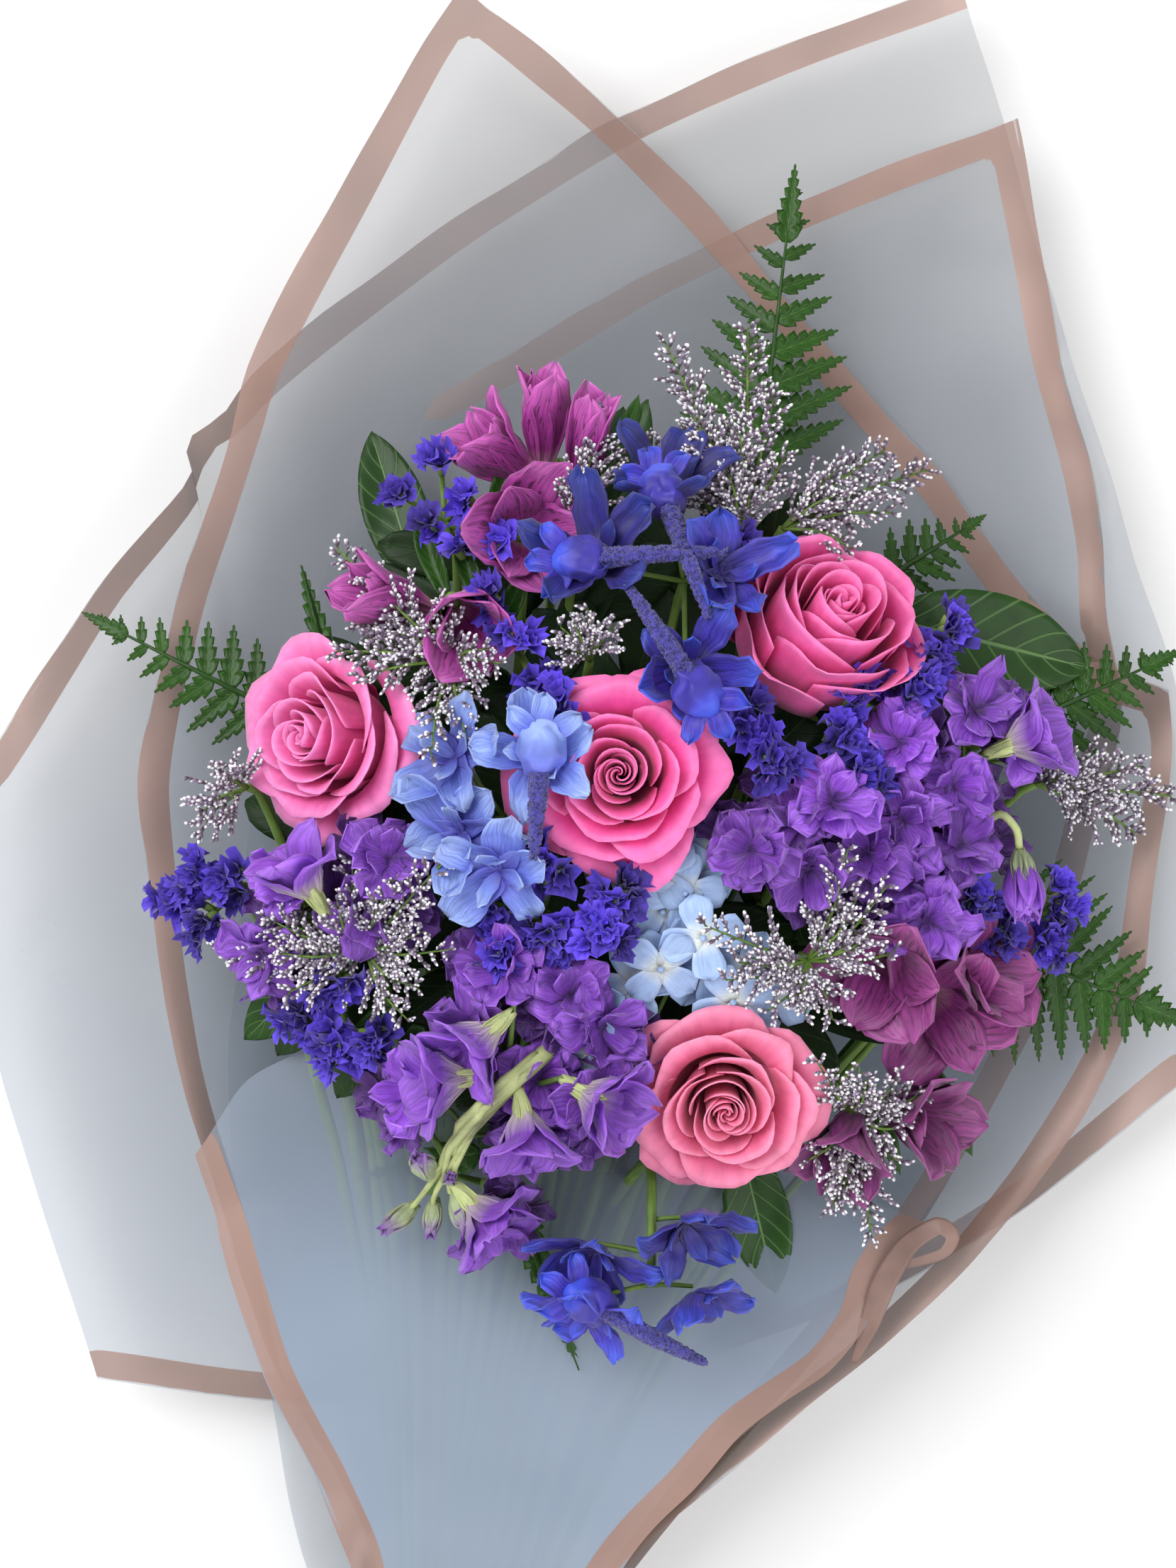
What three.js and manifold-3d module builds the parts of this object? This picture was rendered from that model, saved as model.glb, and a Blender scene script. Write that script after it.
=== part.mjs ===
// A mixed bouquet lying on its back in four sheets of frosted film: roses, stock, statice,
// sea lavender, larkspur, hydrangea, alstroemeria, fern fronds and broad leaves, each on a stem
// that runs to one tied neck. Millimetres; +X right, +Y towards the tips, +Z up from the table.
import * as THREE from "three";
import { mergeVertices } from "three/addons/utils/BufferGeometryUtils.js";
import Module from "manifold-3d";

const wasm = await Module();
wasm.setup();

// ---- driving dimensions ----
const VIEW_HEIGHT = 1100;        // the eye above the table
const PLAN_LEVEL = 100;          // plan positions are as seen at this height
const DOME_TOP = 146;            // height of the flower faces at the middle
const DOME_DROP = 102;           // how far they fall at DOME_REACH
const DOME_REACH = 190;
const DOME_CENTRE = [10, 0];
const FRONT_SQUASH = 0.72;       // the dome falls more slowly towards the neck
const GAP = 0.5;                 // clearance left between neighbouring pieces
const FINEST = 0.2;              // detail smaller than this is dropped from a cut piece
const FILM = 0.8;                // thickness of a sheet
const NECK = new THREE.Vector3(-49, -345, 27.9);
const TAIL = 52;                 // stem length below the neck
const SLOT_PITCH = 4.4;          // spacing of the stems in the tied neck
const SLOT_ROWS = [4, 6, 7, 7, 8, 7, 6, 5];
const THICK_STEM = 2.2;
const THIN_STEM = 2.15;
const STEM_SEGMENTS = 5;
const FLAP_LINE = -132;          // nearer the neck than this the stems pass under the front sheet
const FLAP_CEILING = 49;
const STEM_FLOOR = 8;

const UP = new THREE.Vector3(0, 0, 1);

// ---- placing ----
function at(x, y, z) {
  const scale = (VIEW_HEIGHT - z) / (VIEW_HEIGHT - PLAN_LEVEL);
  return new THREE.Vector3(x * scale, y * scale, z);
}

function domeHeight(x, y) {
  const dx = x - DOME_CENTRE[0];
  const dy = (y - DOME_CENTRE[1]) * (y < DOME_CENTRE[1] ? FRONT_SQUASH : 1);
  return DOME_TOP - DOME_DROP * (dx * dx + dy * dy) / (DOME_REACH * DOME_REACH);
}

function onDome(x, y, lift = 0) {
  return at(x, y, domeHeight(x, y) + lift);
}

function outward(point, lean = 0.0052) {
  return new THREE.Vector3((point.x - DOME_CENTRE[0]) * lean, (point.y - DOME_CENTRE[1]) * lean, 1)
    .normalize();
}

function frame(origin, facing, roll = 0) {
  const turn = new THREE.Quaternion().setFromUnitVectors(UP, facing.clone().normalize());
  const spin = new THREE.Quaternion().setFromAxisAngle(UP, roll);
  return new THREE.Matrix4().compose(origin, turn.multiply(spin), new THREE.Vector3(1, 1, 1));
}

function along(from, to, share) {
  return from.clone().lerp(to, share);
}

// ---- base shapes ----
const QUAD = 6;                  // index entries in a quad: two triangles
const CAP = 3;                   // index entries in a triangle at a pole

// Turns the diagonal of the quad whose two triangles begin at `start` in the index.
function turnDiagonal(index, start) {
  const [a, b, d, , c] = [0, 1, 2, 3, 4].map((n) => index.getX(start + n));
  [a, b, c, a, c, d].forEach((corner, n) => index.setX(start + n, corner));
}

// A closed blade: `place(across, along, side)` maps -1..1 across, 0..1 along, -1..1 through it.
// A sphere's back half mirrors its front, so its diagonals are turned to match the front's.
function blade(around, stations, place) {
  const skin = new THREE.SphereGeometry(1, around, stations);
  for (let row = 1; row < stations - 1; row += 1) {
    for (let column = around / 2; column < around; column += 1) {
      turnDiagonal(skin.index, CAP * around + QUAD * ((row - 1) * around + column));
    }
  }
  const spot = skin.attributes.position;
  for (let i = 0; i < spot.count; i += 1) {
    const polar = Math.acos(THREE.MathUtils.clamp(spot.getY(i), -1, 1));
    const girth = Math.max(Math.sin(polar), 1e-6);
    const moved = place(spot.getX(i) / girth, polar / Math.PI, -spot.getZ(i) / girth);
    spot.setXYZ(i, moved.x, moved.y, moved.z);
  }
  return skin;
}

// A leaf or petal along +Y facing +Z. `outline` lists [share of length, share of half width].
function leaf({ length, width, outline, cup = 0.25, arch = 0.3, thick = 0.9, around = 4 }) {
  const stations = outline.length - 1;
  return blade(around, stations, (across, share, side) => {
    const [reach, breadth] = outline[Math.round(share * stations)];
    const half = breadth * width / 2;
    const angle = arch * reach;
    const out = cup * Math.abs(across) * half + side * thick / 2 * (breadth > 0 ? 1 : 0);
    const radius = length / arch;
    return new THREE.Vector3(
      across * half,
      (radius + out) * Math.sin(angle),
      (radius + out) * Math.cos(angle) - radius,
    );
  });
}

// A tapering stalk through `points`; a last radius of 0 ends it in a point.
function stalk(points, radii, sides) {
  const last = points.length - 1;
  const tip = radii[radii.length - 1];
  const skin = new THREE.CylinderGeometry(tip === 0 ? 0 : 1, 1, 1, sides, last);
  const normals = carriedNormals(points);
  const spot = skin.attributes.position;
  for (let i = 0; i < spot.count; i += 1) {
    const ring = Math.round((spot.getY(i) + 0.5) * last);
    const reach = Math.hypot(spot.getX(i), spot.getZ(i));
    const angle = Math.atan2(spot.getX(i), spot.getZ(i));
    const share = ring / last;
    const radius = reach < 1e-6 ? 0 : radiusAt(radii, share);
    const { tangent, normal } = normals[ring];
    const binormal = normal.clone().cross(tangent);
    const moved = points[ring].clone()
      .addScaledVector(normal, Math.sin(angle) * radius)
      .addScaledVector(binormal, Math.cos(angle) * radius);
    spot.setXYZ(i, moved.x, moved.y, moved.z);
  }
  return skin;
}

function radiusAt(radii, share) {
  const place = share * (radii.length - 1);
  const index = Math.min(Math.floor(place), radii.length - 2);
  return THREE.MathUtils.lerp(radii[index], radii[index + 1], place - index);
}

function carriedNormals(points) {
  const steps = points.slice(1).map((p, i) => p.clone().sub(points[i]).normalize());
  let normal = new THREE.Vector3(0.31, 0.17, 0.94).cross(steps[0]).normalize();
  return points.map((_, i) => {
    const before = steps[Math.max(i - 1, 0)];
    const after = steps[Math.min(i, steps.length - 1)];
    const tangent = before.clone().add(after).normalize();
    normal = normal.clone().addScaledVector(tangent, -normal.dot(tangent)).normalize();
    return { tangent, normal };
  });
}

// A lobed rosette as one thin cupped solid facing +Z, with three rim points to a lobe.
function star(lobes, { size, notch = 0.42, lift = 0.2, ruffle = 0, thick = 1.8 }) {
  return blade(lobes * 3, 2, (across, share, side) => {
    if (share < 0.25) return new THREE.Vector3(0, 0, -thick / 2);
    if (share > 0.75) return new THREE.Vector3(0, 0, thick / 2);
    const turn = Math.atan2(-side, across) / (2 * Math.PI) * lobes * 3;
    const kind = ((Math.round(turn) % 3) + 3) % 3;
    const swing = [0, -0.22, 0.22][kind];
    const angle = (Math.round(turn) + swing) * 2 * Math.PI / (lobes * 3);
    const reach = size * (kind === 0 ? notch : 1);
    const rise = size * lift * (kind === 0 ? notch : 1) + [0, ruffle, -ruffle][kind];
    return new THREE.Vector3(reach * Math.cos(angle), reach * Math.sin(angle), rise);
  });
}

function ringOf(count, turn, make) {
  return Array.from({ length: count }, (_, i) => {
    const angle = turn + i * 2 * Math.PI / count;
    return make(i).applyMatrix4(new THREE.Matrix4().makeRotationZ(angle));
  });
}

function placed(shapes, matrix) {
  return shapes.map((shape) => shape.applyMatrix4(matrix));
}

// ---- flowers and leaves ----
const PINNA = [[0, 0], [0.38, 1], [1, 0]];
const BROAD_LEAF = [[0, 0.1], [0.2, 0.62], [0.42, 1], [0.64, 0.9], [0.86, 0.45], [1, 0]];

const ROSE_RINGS = [
  { count: 3, radius: 0.22, top: 0.98, flare: 0.9, half: 0.95, around: 4 },
  { count: 3, radius: 0.43, top: 0.97, flare: 1.05, half: 0.98, around: 4 },
  { count: 4, radius: 0.63, top: 0.92, flare: 1.12, half: 0.84, around: 6 },
  { count: 4, radius: 0.82, top: 0.8, flare: 1.2, half: 0.86, around: 6 },
];
const ROSE = {
  budWide: 0.31, budTall: 0.52, budMiddle: 0.42,  // the closed bud, as shares of radius and height
  spiral: 0.9,                   // turn from one ring of petals to the next
  overlap: 2.6,                  // how far a petal's outer edge stands off its inner edge, at the rim
  droop: 0.06,                   // how far a petal's corners hang, as a share of the height
  thick: 1,
  sunk: 0.5, hip: 0.08, calyx: 0.24, roll: 0.7, bulk: 0.98,
};
const ROSE_PETAL_ROWS = [[0.02, 0.06, 0], [0.28, 0.72, 0.7], [0.68, 1, 1], [0.93, 1, 0.72], [1, 1, 0]];

// Petals stand in rings round +Z, each one edge in and one edge out, over a closed bud.
function roseBloom(radius, height) {
  const bud = new THREE.SphereGeometry(1, 6, 4)
    .applyMatrix4(new THREE.Matrix4().makeRotationX(Math.PI / 2))
    .scale(radius * ROSE.budWide, radius * ROSE.budWide, height * ROSE.budTall)
    .translate(0, 0, height * ROSE.budMiddle);
  const petals = ROSE_RINGS.flatMap((ring, level) => ringOf(ring.count, level * ROSE.spiral, () =>
    rosePetal(ring, radius, height)));
  return [bud, ...petals];
}

function rosePetal(ring, radius, height) {
  const stations = ROSE_PETAL_ROWS.length - 1;
  return blade(ring.around, stations, (across, share, side) => {
    const [rise, belly, breadth] = ROSE_PETAL_ROWS[Math.round(share * stations)];
    const angle = across * breadth * ring.half;
    const flare = THREE.MathUtils.lerp(1, ring.flare, rise * rise);
    const thick = breadth > 0 ? ROSE.thick : 0;
    const reach = radius * ring.radius * belly * flare + across * rise * ROSE.overlap
      + side * thick / 2;
    const droop = across * across * breadth * height * ROSE.droop;
    return new THREE.Vector3(reach * Math.cos(angle), reach * Math.sin(angle),
      height * ring.top * rise - droop);
  });
}

function calyx(origin, facing, size) {
  const hip = new THREE.SphereGeometry(size, 6, 4);
  const sepals = star(5, { size: size * 2.3, notch: 0.35, lift: 0.1 }).translate(0, 0, size * 0.4);
  return placed([hip, sepals], frame(origin, facing));
}

function stockFloret(point, facing, roll, size = 14) {
  const outer = star(4, { size, notch: 0.5, lift: 0.12, ruffle: 1.2 });
  const inner = star(3, { size: size * 0.62, notch: 0.5, lift: 0.75, ruffle: 1 })
    .rotateZ(0.4).translate(0, 0, 1.3);
  return placed([outer, inner], frame(point, facing, roll));
}

function larkspurFloret(point, facing, roll, size = 17) {
  const sepals = star(5, { size, notch: 0.38, lift: 0.4, ruffle: 0.6 });
  return placed([sepals], frame(point, facing, roll));
}

function hydrangeaFloret(point, facing, roll, size = 13) {
  const sepals = star(4, { size, notch: 0.5, lift: -0.08, ruffle: 0.5 });
  return placed([sepals], frame(point, facing, roll));
}

function alstroemeriaBloom(point, facing, roll, open = 1, size = 30) {
  const reach = size * Math.cos(open);
  const outer = star(3, { size: reach, notch: 0.35, lift: Math.tan(open), thick: 3 });
  const inner = star(3, { size: reach * 0.75, notch: 0.4, lift: Math.tan(open) * 1.35, thick: 3 })
    .rotateZ(Math.PI / 3).translate(0, 0, 1.8);
  return placed([outer, inner], frame(point, facing, roll));
}

function frilledCluster(point, facing, roll, size = 7) {
  const frill = star(4, { size, notch: 0.66, lift: 0.5, ruffle: 1, thick: 3 });
  return placed([frill], frame(point, facing, roll));
}

function twig(from, to, radius = 0.9) {
  return stalk([from, to], [radius, 0], 3);
}

// Repeats hang on the nearest point of their own stem's head end.
function nearestOn(rachis, point) {
  let best = rachis[0];
  for (let i = 0; i + 1 < rachis.length; i += 1) {
    const line = new THREE.Line3(rachis[i], rachis[i + 1]);
    const spot = line.closestPointToPoint(point, true, new THREE.Vector3());
    if (spot.distanceTo(point) < best.distanceTo(point)) best = spot;
  }
  return best;
}

function hungOn(rachis, point, radius) {
  const root = nearestOn(rachis, point);
  return twig(root, along(root, point, 1.12), radius);
}

// ---- what grows where: plan positions in mm as seen from above ----
const ROSES = [
  { name: "left", spot: [-83, 15], facing: [-0.62, 0.02, 0.8], radius: 37, height: 46, lift: -22 },
  { name: "centre", spot: [11, 3], facing: [-0.05, 0.02, 1], radius: 37, height: 46, lift: -14 },
  { name: "upper_right", spot: [76, 49], facing: [0.2, 0.42, 0.86], radius: 33, height: 52,
    lift: -18 },
  { name: "lower", spot: [45, -104], facing: [0.02, -0.22, 0.97], radius: 34, height: 44,
    lift: -14 },
];

const STOCKS = [
  { name: "right_upper", hub: [114, 4], spots: [[103, 14], [121, -1], [129, 25],
    [104, -12], [142, 16]] },
  { name: "centre_right", hub: [68, -20], spots: [[68, -10], [54, -22], [81, -5],
    [73, -29]] },
  { name: "right", hub: [112, -31], spots: [[104, -31], [124, -20], [113, -46],
    [92, -23], [144, -34]] },
  { name: "lower", hub: [-13, -91], bend: [[-32, -107, -4], [-46, -124, -10], [-53, -135, -18]],
    spots: [[-16, -98], [-58, -101], [4, -105], [-16, -117], [-32, -148], [-55, -142]] },
  { name: "lower_back", hub: [-16, -75], spots: [[-6, -70], [-29, -61], [-39, -81],
    [5, -81]] },
  { name: "left", hub: [-88, -40], spots: [[-99, -32], [-66, -25], [-108, -57],
    [-73, -42]] },
];

const STATICES = [
  { name: "upper_left", hub: [-44, 81], spots: [[-49, 106], [-62, 96], [-40, 96],
    [-53, 87], [-44, 78], [-30, 79]] },
  { name: "upper", hub: [-23, 44], spots: [[-32, 63], [-25, 50], [-18, 34], [-10, 25]] },
  { name: "far_left", hub: [-112, -36], spots: [[-136, -37], [-127, -45], [-120, -31],
    [-130, -31]] },
  { name: "lower_left", hub: [-81, -74], spots: [[-94, -78], [-83, -87], [-72, -84],
    [-86, -66]] },
  { name: "centre", hub: [-13, -43], spots: [[-33, -39], [-14, -27], [-13, -49],
    [-30, -56], [9, -39], [5, -51]] },
  { name: "right", hub: [98, 20], spots: [[87, 29], [86, 14], [107, 31],
    [120, 52], [114, 42], [90, 3]] },
  { name: "centre_right", hub: [58, 17], spots: [[51, 22], [62, 10], [47, 78]] },
  { name: "far_right", hub: [136, -43], spots: [[139, -48], [158, -39], [152, -51],
    [127, -40]] },
];

const SEA_LAVENDERS = [
  { name: "top", hub: [48, 78], twigs: [[26, 146], [35, 122], [53, 151], [62, 130],
    [46, 104]] },
  { name: "top_right", hub: [62, 81], twigs: [[112, 104], [100, 90], [81, 103]] },
  { name: "upper_left", hub: [-42, 39], twigs: [[-83, 78], [-73, 68], [-49, 60],
    [-83, 44], [-29, 40], [-52, 10]] },
  { name: "upper", hub: [-4, 81], twigs: [[6, 122], [-3, 101]] },
  { name: "centre", hub: [1, 39], twigs: [[-9, 52], [10, 53], [0, 58]] },
  { name: "left", hub: [-70, -53], twigs: [[-122, -55], [-107, -44], [-99, -69],
    [-78, -26], [-47, -25], [-60, -78], [-46, -55]] },
  { name: "far_left", hub: [-108, -1], twigs: [[-128, -16], [-118, 8]] },
  { name: "right", hub: [70, -56], twigs: [[39, -47], [86, -22], [101, -56],
    [46, -65], [81, -78], [99, -34], [60, -75]] },
  { name: "far_right", hub: [143, 0], twigs: [[193, -4], [183, 6], [161, -1]] },
  { name: "lower_right", hub: [82, -104], twigs: [[110, -103], [103, -125], [94, -150],
    [81, -140]] },
];

const LARKSPURS = [
  { name: "upper", hub: [30, 62], spots: [[27, 98], [4, 74], [33, 38], [44, 69]],
    spurs: [[[27, 91], [40, 55]], [[4, 75], [46, 77]], [[33, 36], [13, 66]]] },
  { name: "centre_left", hub: [-25, -10], spots: [[-44, 9], [-16, 9], [-42, -16],
    [-29, -29]], spurs: [[[-16, 5], [-18, -25]]] },
  { name: "lower", hub: [20, -125], bend: [[21, -148, 3], [21, -166, -2]],
    spots: [[3, -155], [32, -146], [35, -169], [1, -173]],
    spurs: [[[5, -174], [39, -192]]] },
];

const HYDRANGEA_SPOTS = [[32, -36], [24, -61], [38, -51], [52, -62], [48, -72],
  [1, -90], [23, -29]];
const HYDRANGEA_HUB = [29, -56];

const ALSTROEMERIAS = [
  { name: "top", hub: [-9, 104], blooms: [[-13, 114, 0.05, 0.9, 0.45, 1.2],
    [-1, 107, 0.25, 0.8, 0.5, 1.25]] },
  { name: "upper", hub: [-21, 78], blooms: [[-21, 83, 0.15, 0, 1, 0.95]] },
  { name: "upper_left", hub: [-49, 58], blooms: [[-62, 61, -0.85, 0.25, 0.5, 1.2],
    [-42, 55, 0.2, -0.4, 0.8, 1.1]] },
  { name: "right", hub: [114, -62], blooms: [[99, -61, -0.25, -0.3, 0.9, 0.8],
    [117, -73, 0.2, -0.2, 0.9, 0.75], [129, -62, 0.75, 0.1, 0.7, 0.85]] },
  { name: "lower_right", hub: [99, -107], blooms: [[87, -117, -0.2, -0.7, 0.7, 1.1],
    [108, -110, 0.7, -0.3, 0.7, 1.05]] },
];

// base and tip as seen, heights, and the longest leaflet
const FERNS = [
  { name: "top", base: [56, 101, 40], tip: [68, 199, 46], reach: 40, pairs: 8 },
  { name: "left", base: [-105, 25, 58], tip: [-164, 55, 52], reach: 27, pairs: 7 },
  { name: "right_upper", base: [140, 18, 56], tip: [194, 43, 56], reach: 32, pairs: 7 },
  { name: "right_lower", base: [124, -49, 58], tip: [195, -78, 56], reach: 50, pairs: 8 },
  { name: "lower", base: [-27, -130, 76], tip: [-3, -194, 72], reach: 16, pairs: 6 },
  { name: "lower_left", base: [-36, -122, 70], tip: [-75, -130, 70], reach: 17, pairs: 5 },
  { name: "top_right", base: [99, 68, 60], tip: [130, 88, 58], reach: 20, pairs: 5 },
  { name: "upper_left", base: [-86, 39, 64], tip: [-95, 72, 60], reach: 12, pairs: 4 },
];

const BROAD_LEAVES = [
  { name: "upper_left", base: [-58, 72, 50], tip: [-72, 116, 46], width: 28 },
  { name: "right", base: [108, 53, 72], tip: [166, 39, 66], width: 42 },
  { name: "lower", base: [52, -125, 74], tip: [62, -167, 70], width: 27 },
  { name: "upper", base: [6, 81, 62], tip: [19, 126, 66], width: 20 },
  { name: "lower_left", base: [-91, -62, 50], tip: [-113, -84, 48], width: 24 },
];

// ---- colours: measured by eye from each kind of bloom ----
const TINTS = {
  rose_left: [0xf26a9c, 0.55], rose_centre: [0xe63f7c, 0.55], rose_upper_right: [0xf0649a, 0.55],
  rose_lower: [0xee7c9e, 0.55], rose_green: [0x4f7a3c, 0.6], stock: [0x8a3fc0, 0.6],
  statice: [0x4a35a8, 0.75], sea_lavender: [0xcfc8e2, 0.8], larkspur: [0x3636b4, 0.55],
  larkspur_light: [0x6f8fe0, 0.55], hydrangea: [0x9dbdec, 0.6], alstroemeria: [0xa53a8c, 0.5],
  fern: [0x2c6a2c, 0.6], broad_leaf: [0x2f6232, 0.42], film: [0xaebcc6, 0.35],
  ribbon: [0xc9a097, 0.4], twine: [0xb79a6b, 0.9],
};

function material(tint) {
  const [color, roughness] = TINTS[tint];
  const look = new THREE.MeshStandardMaterial({ color, roughness, metalness: 0 });
  if (tint === "film") {
    look.transparent = true;
    look.opacity = 0.6;
  }
  return look;
}

// ---- each node: its own stem, and the shapes its head is made of ----
// Each kind's hub lies `depth` under the dome and its stem goes on for `rise`. A repeat hangs on
// a stalk of radius `hang`, at one of `levels` heights `step` apart from `low`, `turn` rolled on.
const HABITS = {
  stock: { depth: 34, rise: 18, hang: 1.4, low: -6, step: 4, levels: 3, turn: 0.7 },
  statice: { depth: 30, rise: 12, hang: 1.1, low: -4, step: 3, levels: 2, turn: 0.5 },
  sea_lavender: { depth: 24, rise: 8, low: 2, step: 2, levels: 3 },
  larkspur: { depth: 30, rise: 14, hang: 1.2, low: -2, step: 4, levels: 2, turn: 0.5 },
  hydrangea: { depth: 36, rise: 12, hang: 1.4, low: -9, step: 2, levels: 3, turn: 0.9 },
  alstroemeria: { depth: 34, rise: 6, hang: 1.5, low: -8, sunk: 14 },
};

function hubUnder(spot, { depth }) {
  return onDome(spot[0], spot[1], -depth);
}

function spotOf([x, y], i, { low, step, levels }) {
  return onDome(x, y, (i % levels) * step + low);
}

function stemTip(hub, rise) {
  return hub.clone().addScaledVector(outward(hub), rise);
}

function bentTip(bend) {
  return bend.map(([x, y, lift]) => onDome(x, y, lift));
}

function roseNodes() {
  return ROSES.flatMap(({ name, spot, facing, radius, height, lift }) => {
    const aim = new THREE.Vector3(...facing).normalize();
    const middle = onDome(spot[0], spot[1], lift);
    const base = middle.clone().addScaledVector(aim, -height * ROSE.sunk);
    const hip = base.clone().addScaledVector(aim, -radius * ROSE.hip);
    const size = radius * ROSE.calyx;
    return [
      { name: `rose_${name}_bloom`, tint: `rose_${name}`, bulk: { middle, radius: radius * ROSE.bulk },
        head: () => placed(roseBloom(radius, height), frame(base, aim, ROSE.roll)) },
      { name: `rose_${name}_stem`, tint: "rose_green", radius: THICK_STEM, sides: 4, aim,
        rachis: [hip.clone().addScaledVector(aim, -size * 0.5)],
        guard: () => calyx(hip, aim, size), head: () => [] },
    ];
  });
}

function stockNodes() {
  const habit = HABITS.stock;
  return STOCKS.map(({ name, hub, bend, spots }) => {
    const root = hubUnder(hub, habit);
    const extra = bend ? bentTip(bend) : [stemTip(root, habit.rise)];
    return { name: `stock_${name}`, tint: "stock", radius: THICK_STEM, rachis: [root, ...extra],
      head: (line) => spots.flatMap((spot, i) => {
        const point = spotOf(spot, i, habit);
        const aim = point.clone().sub(nearestOn(line, point)).normalize().add(outward(point))
          .add(UP).normalize();
        return [hungOn(line, point, habit.hang), ...stockFloret(point, aim, i * habit.turn)];
      }) };
  });
}

function staticeNodes() {
  const habit = HABITS.statice;
  return STATICES.map(({ name, hub, spots }) => {
    const root = hubUnder(hub, habit);
    return { name: `statice_${name}`, tint: "statice", radius: THIN_STEM,
      rachis: [root, stemTip(root, habit.rise)],
      head: (line) => spots.flatMap((spot, i) => {
        const point = spotOf(spot, i, habit);
        return [hungOn(line, point, habit.hang),
          ...frilledCluster(point, outward(point), i * habit.turn)];
      }) };
  });
}

function seaLavenderNodes() {
  const habit = HABITS.sea_lavender;
  return SEA_LAVENDERS.map(({ name, hub, twigs }) => {
    const root = hubUnder(hub, habit);
    return { name: `sea_lavender_${name}`, tint: "sea_lavender", radius: THIN_STEM,
      rachis: [root, stemTip(root, habit.rise)],
      head: (line) => twigs.map((spot, i) => {
        const tip = spotOf(spot, i, habit);
        return buddedTwig(nearestOn(line, tip), tip, i);
      }) };
  });
}

// A twig with its buds: a thin zigzag stalk that swells at each bud.
const BUD_PITCH = 15;
const BUD_RADIUS = 2.2;
const BUD_SWAY = 1.6;
const BUD_MIDDLE = 0.3;          // from a bud's tip back to its middle and its neck, in pitches
const BUD_NECK = 0.62;
const TWIG_RADII = [1, 0.7];     // at the root, and at each bud's neck
const MOST_BUDS = 2;
function buddedTwig(from, tip, seed) {
  const length = from.distanceTo(tip);
  const buds = THREE.MathUtils.clamp(Math.floor(length / BUD_PITCH), 1, MOST_BUDS);
  const side = tip.clone().sub(from).cross(UP).normalize();
  const points = [from];
  const radii = [TWIG_RADII[0]];
  for (let k = 0; k < buds; k += 1) {
    const sway = (k + seed) % 2 ? BUD_SWAY : -BUD_SWAY;
    const share = 1 - (buds - 1 - k) * BUD_PITCH / length;
    const middle = share - BUD_MIDDLE * BUD_PITCH / length;
    points.push(along(from, tip, share - BUD_NECK * BUD_PITCH / length),
      along(from, tip, middle).addScaledVector(side, sway));
    radii.push(TWIG_RADII[1], BUD_RADIUS);
  }
  points.push(tip.clone());
  radii.push(0);
  return stalk(points, radii, 3);
}

const SPUR = { root: 2, bend: [10, 12], tip: 8, radii: [2.6, 2.2, 0], sides: 5 };
const LARKSPUR_LEAN = 0.012;
function larkspurNodes() {
  const habit = HABITS.larkspur;
  return LARKSPURS.map(({ name, hub, bend, spots, spurs }) => {
    const root = hubUnder(hub, habit);
    const extra = bend ? bentTip(bend) : [stemTip(root, habit.rise)];
    return { name: `larkspur_${name}`, tint: name === "centre_left" ? "larkspur_light" : "larkspur",
      radius: THIN_STEM, rachis: [root, ...extra],
      head: (line) => [
        ...spots.flatMap((spot, i) => {
          const point = spotOf(spot, i, habit);
          const aim = outward(point, LARKSPUR_LEAN);
          return [hungOn(line, point, habit.hang), ...larkspurFloret(point, aim, i * habit.turn)];
        }),
        ...spurs.map(([from, to]) => {
          const bend = onDome(...from, SPUR.bend[0]).lerp(onDome(...to, SPUR.bend[1]), 0.5);
          return stalk([onDome(...from, SPUR.root), bend, onDome(...to, SPUR.tip)], SPUR.radii,
            SPUR.sides);
        }),
      ] };
  });
}

function hydrangeaNode() {
  const habit = HABITS.hydrangea;
  const root = hubUnder(HYDRANGEA_HUB, habit);
  return { name: "hydrangea", tint: "hydrangea", radius: THICK_STEM,
    rachis: [root, stemTip(root, habit.rise)],
    head: (line) => HYDRANGEA_SPOTS.flatMap((spot, i) => {
      const point = spotOf(spot, i, habit);
      return [hungOn(line, point, habit.hang),
        ...hydrangeaFloret(point, outward(point), i * habit.turn)];
    }) };
}

function alstroemeriaNodes() {
  const habit = HABITS.alstroemeria;
  return ALSTROEMERIAS.map(({ name, hub, blooms }) => {
    const root = hubUnder(hub, habit);
    return { name: `alstroemeria_${name}`, tint: "alstroemeria", radius: THIN_STEM,
      rachis: [root, stemTip(root, habit.rise)],
      head: (line) => blooms.flatMap(([x, y, ax, ay, az, open], i) => {
        const aim = new THREE.Vector3(ax, ay, az).normalize();
        const point = onDome(x, y, habit.low).addScaledVector(aim, -habit.sunk);
        return [hungOn(line, point, habit.hang), ...alstroemeriaBloom(point, aim, i, open)];
      }) };
  });
}

function fernNodes() {
  return FERNS.map(({ name, base, tip, reach, pairs }) => {
    const root = at(...base);
    const end = at(...tip);
    return { name: `fern_${name}`, tint: "fern", radius: THIN_STEM, rachis: [root],
      head: () => frond(root, end, reach, pairs) };
  });
}

const FROND = { arch: 4, radii: [1.3, 1, 0], first: 0.3, full: 0.75, taper: 1.06, sweep: 0.75 };
const LEAFLET = { arch: 0.25, cup: 0.12, thick: 0.9, crowd: 1.1, widest: 0.42 };
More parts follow.
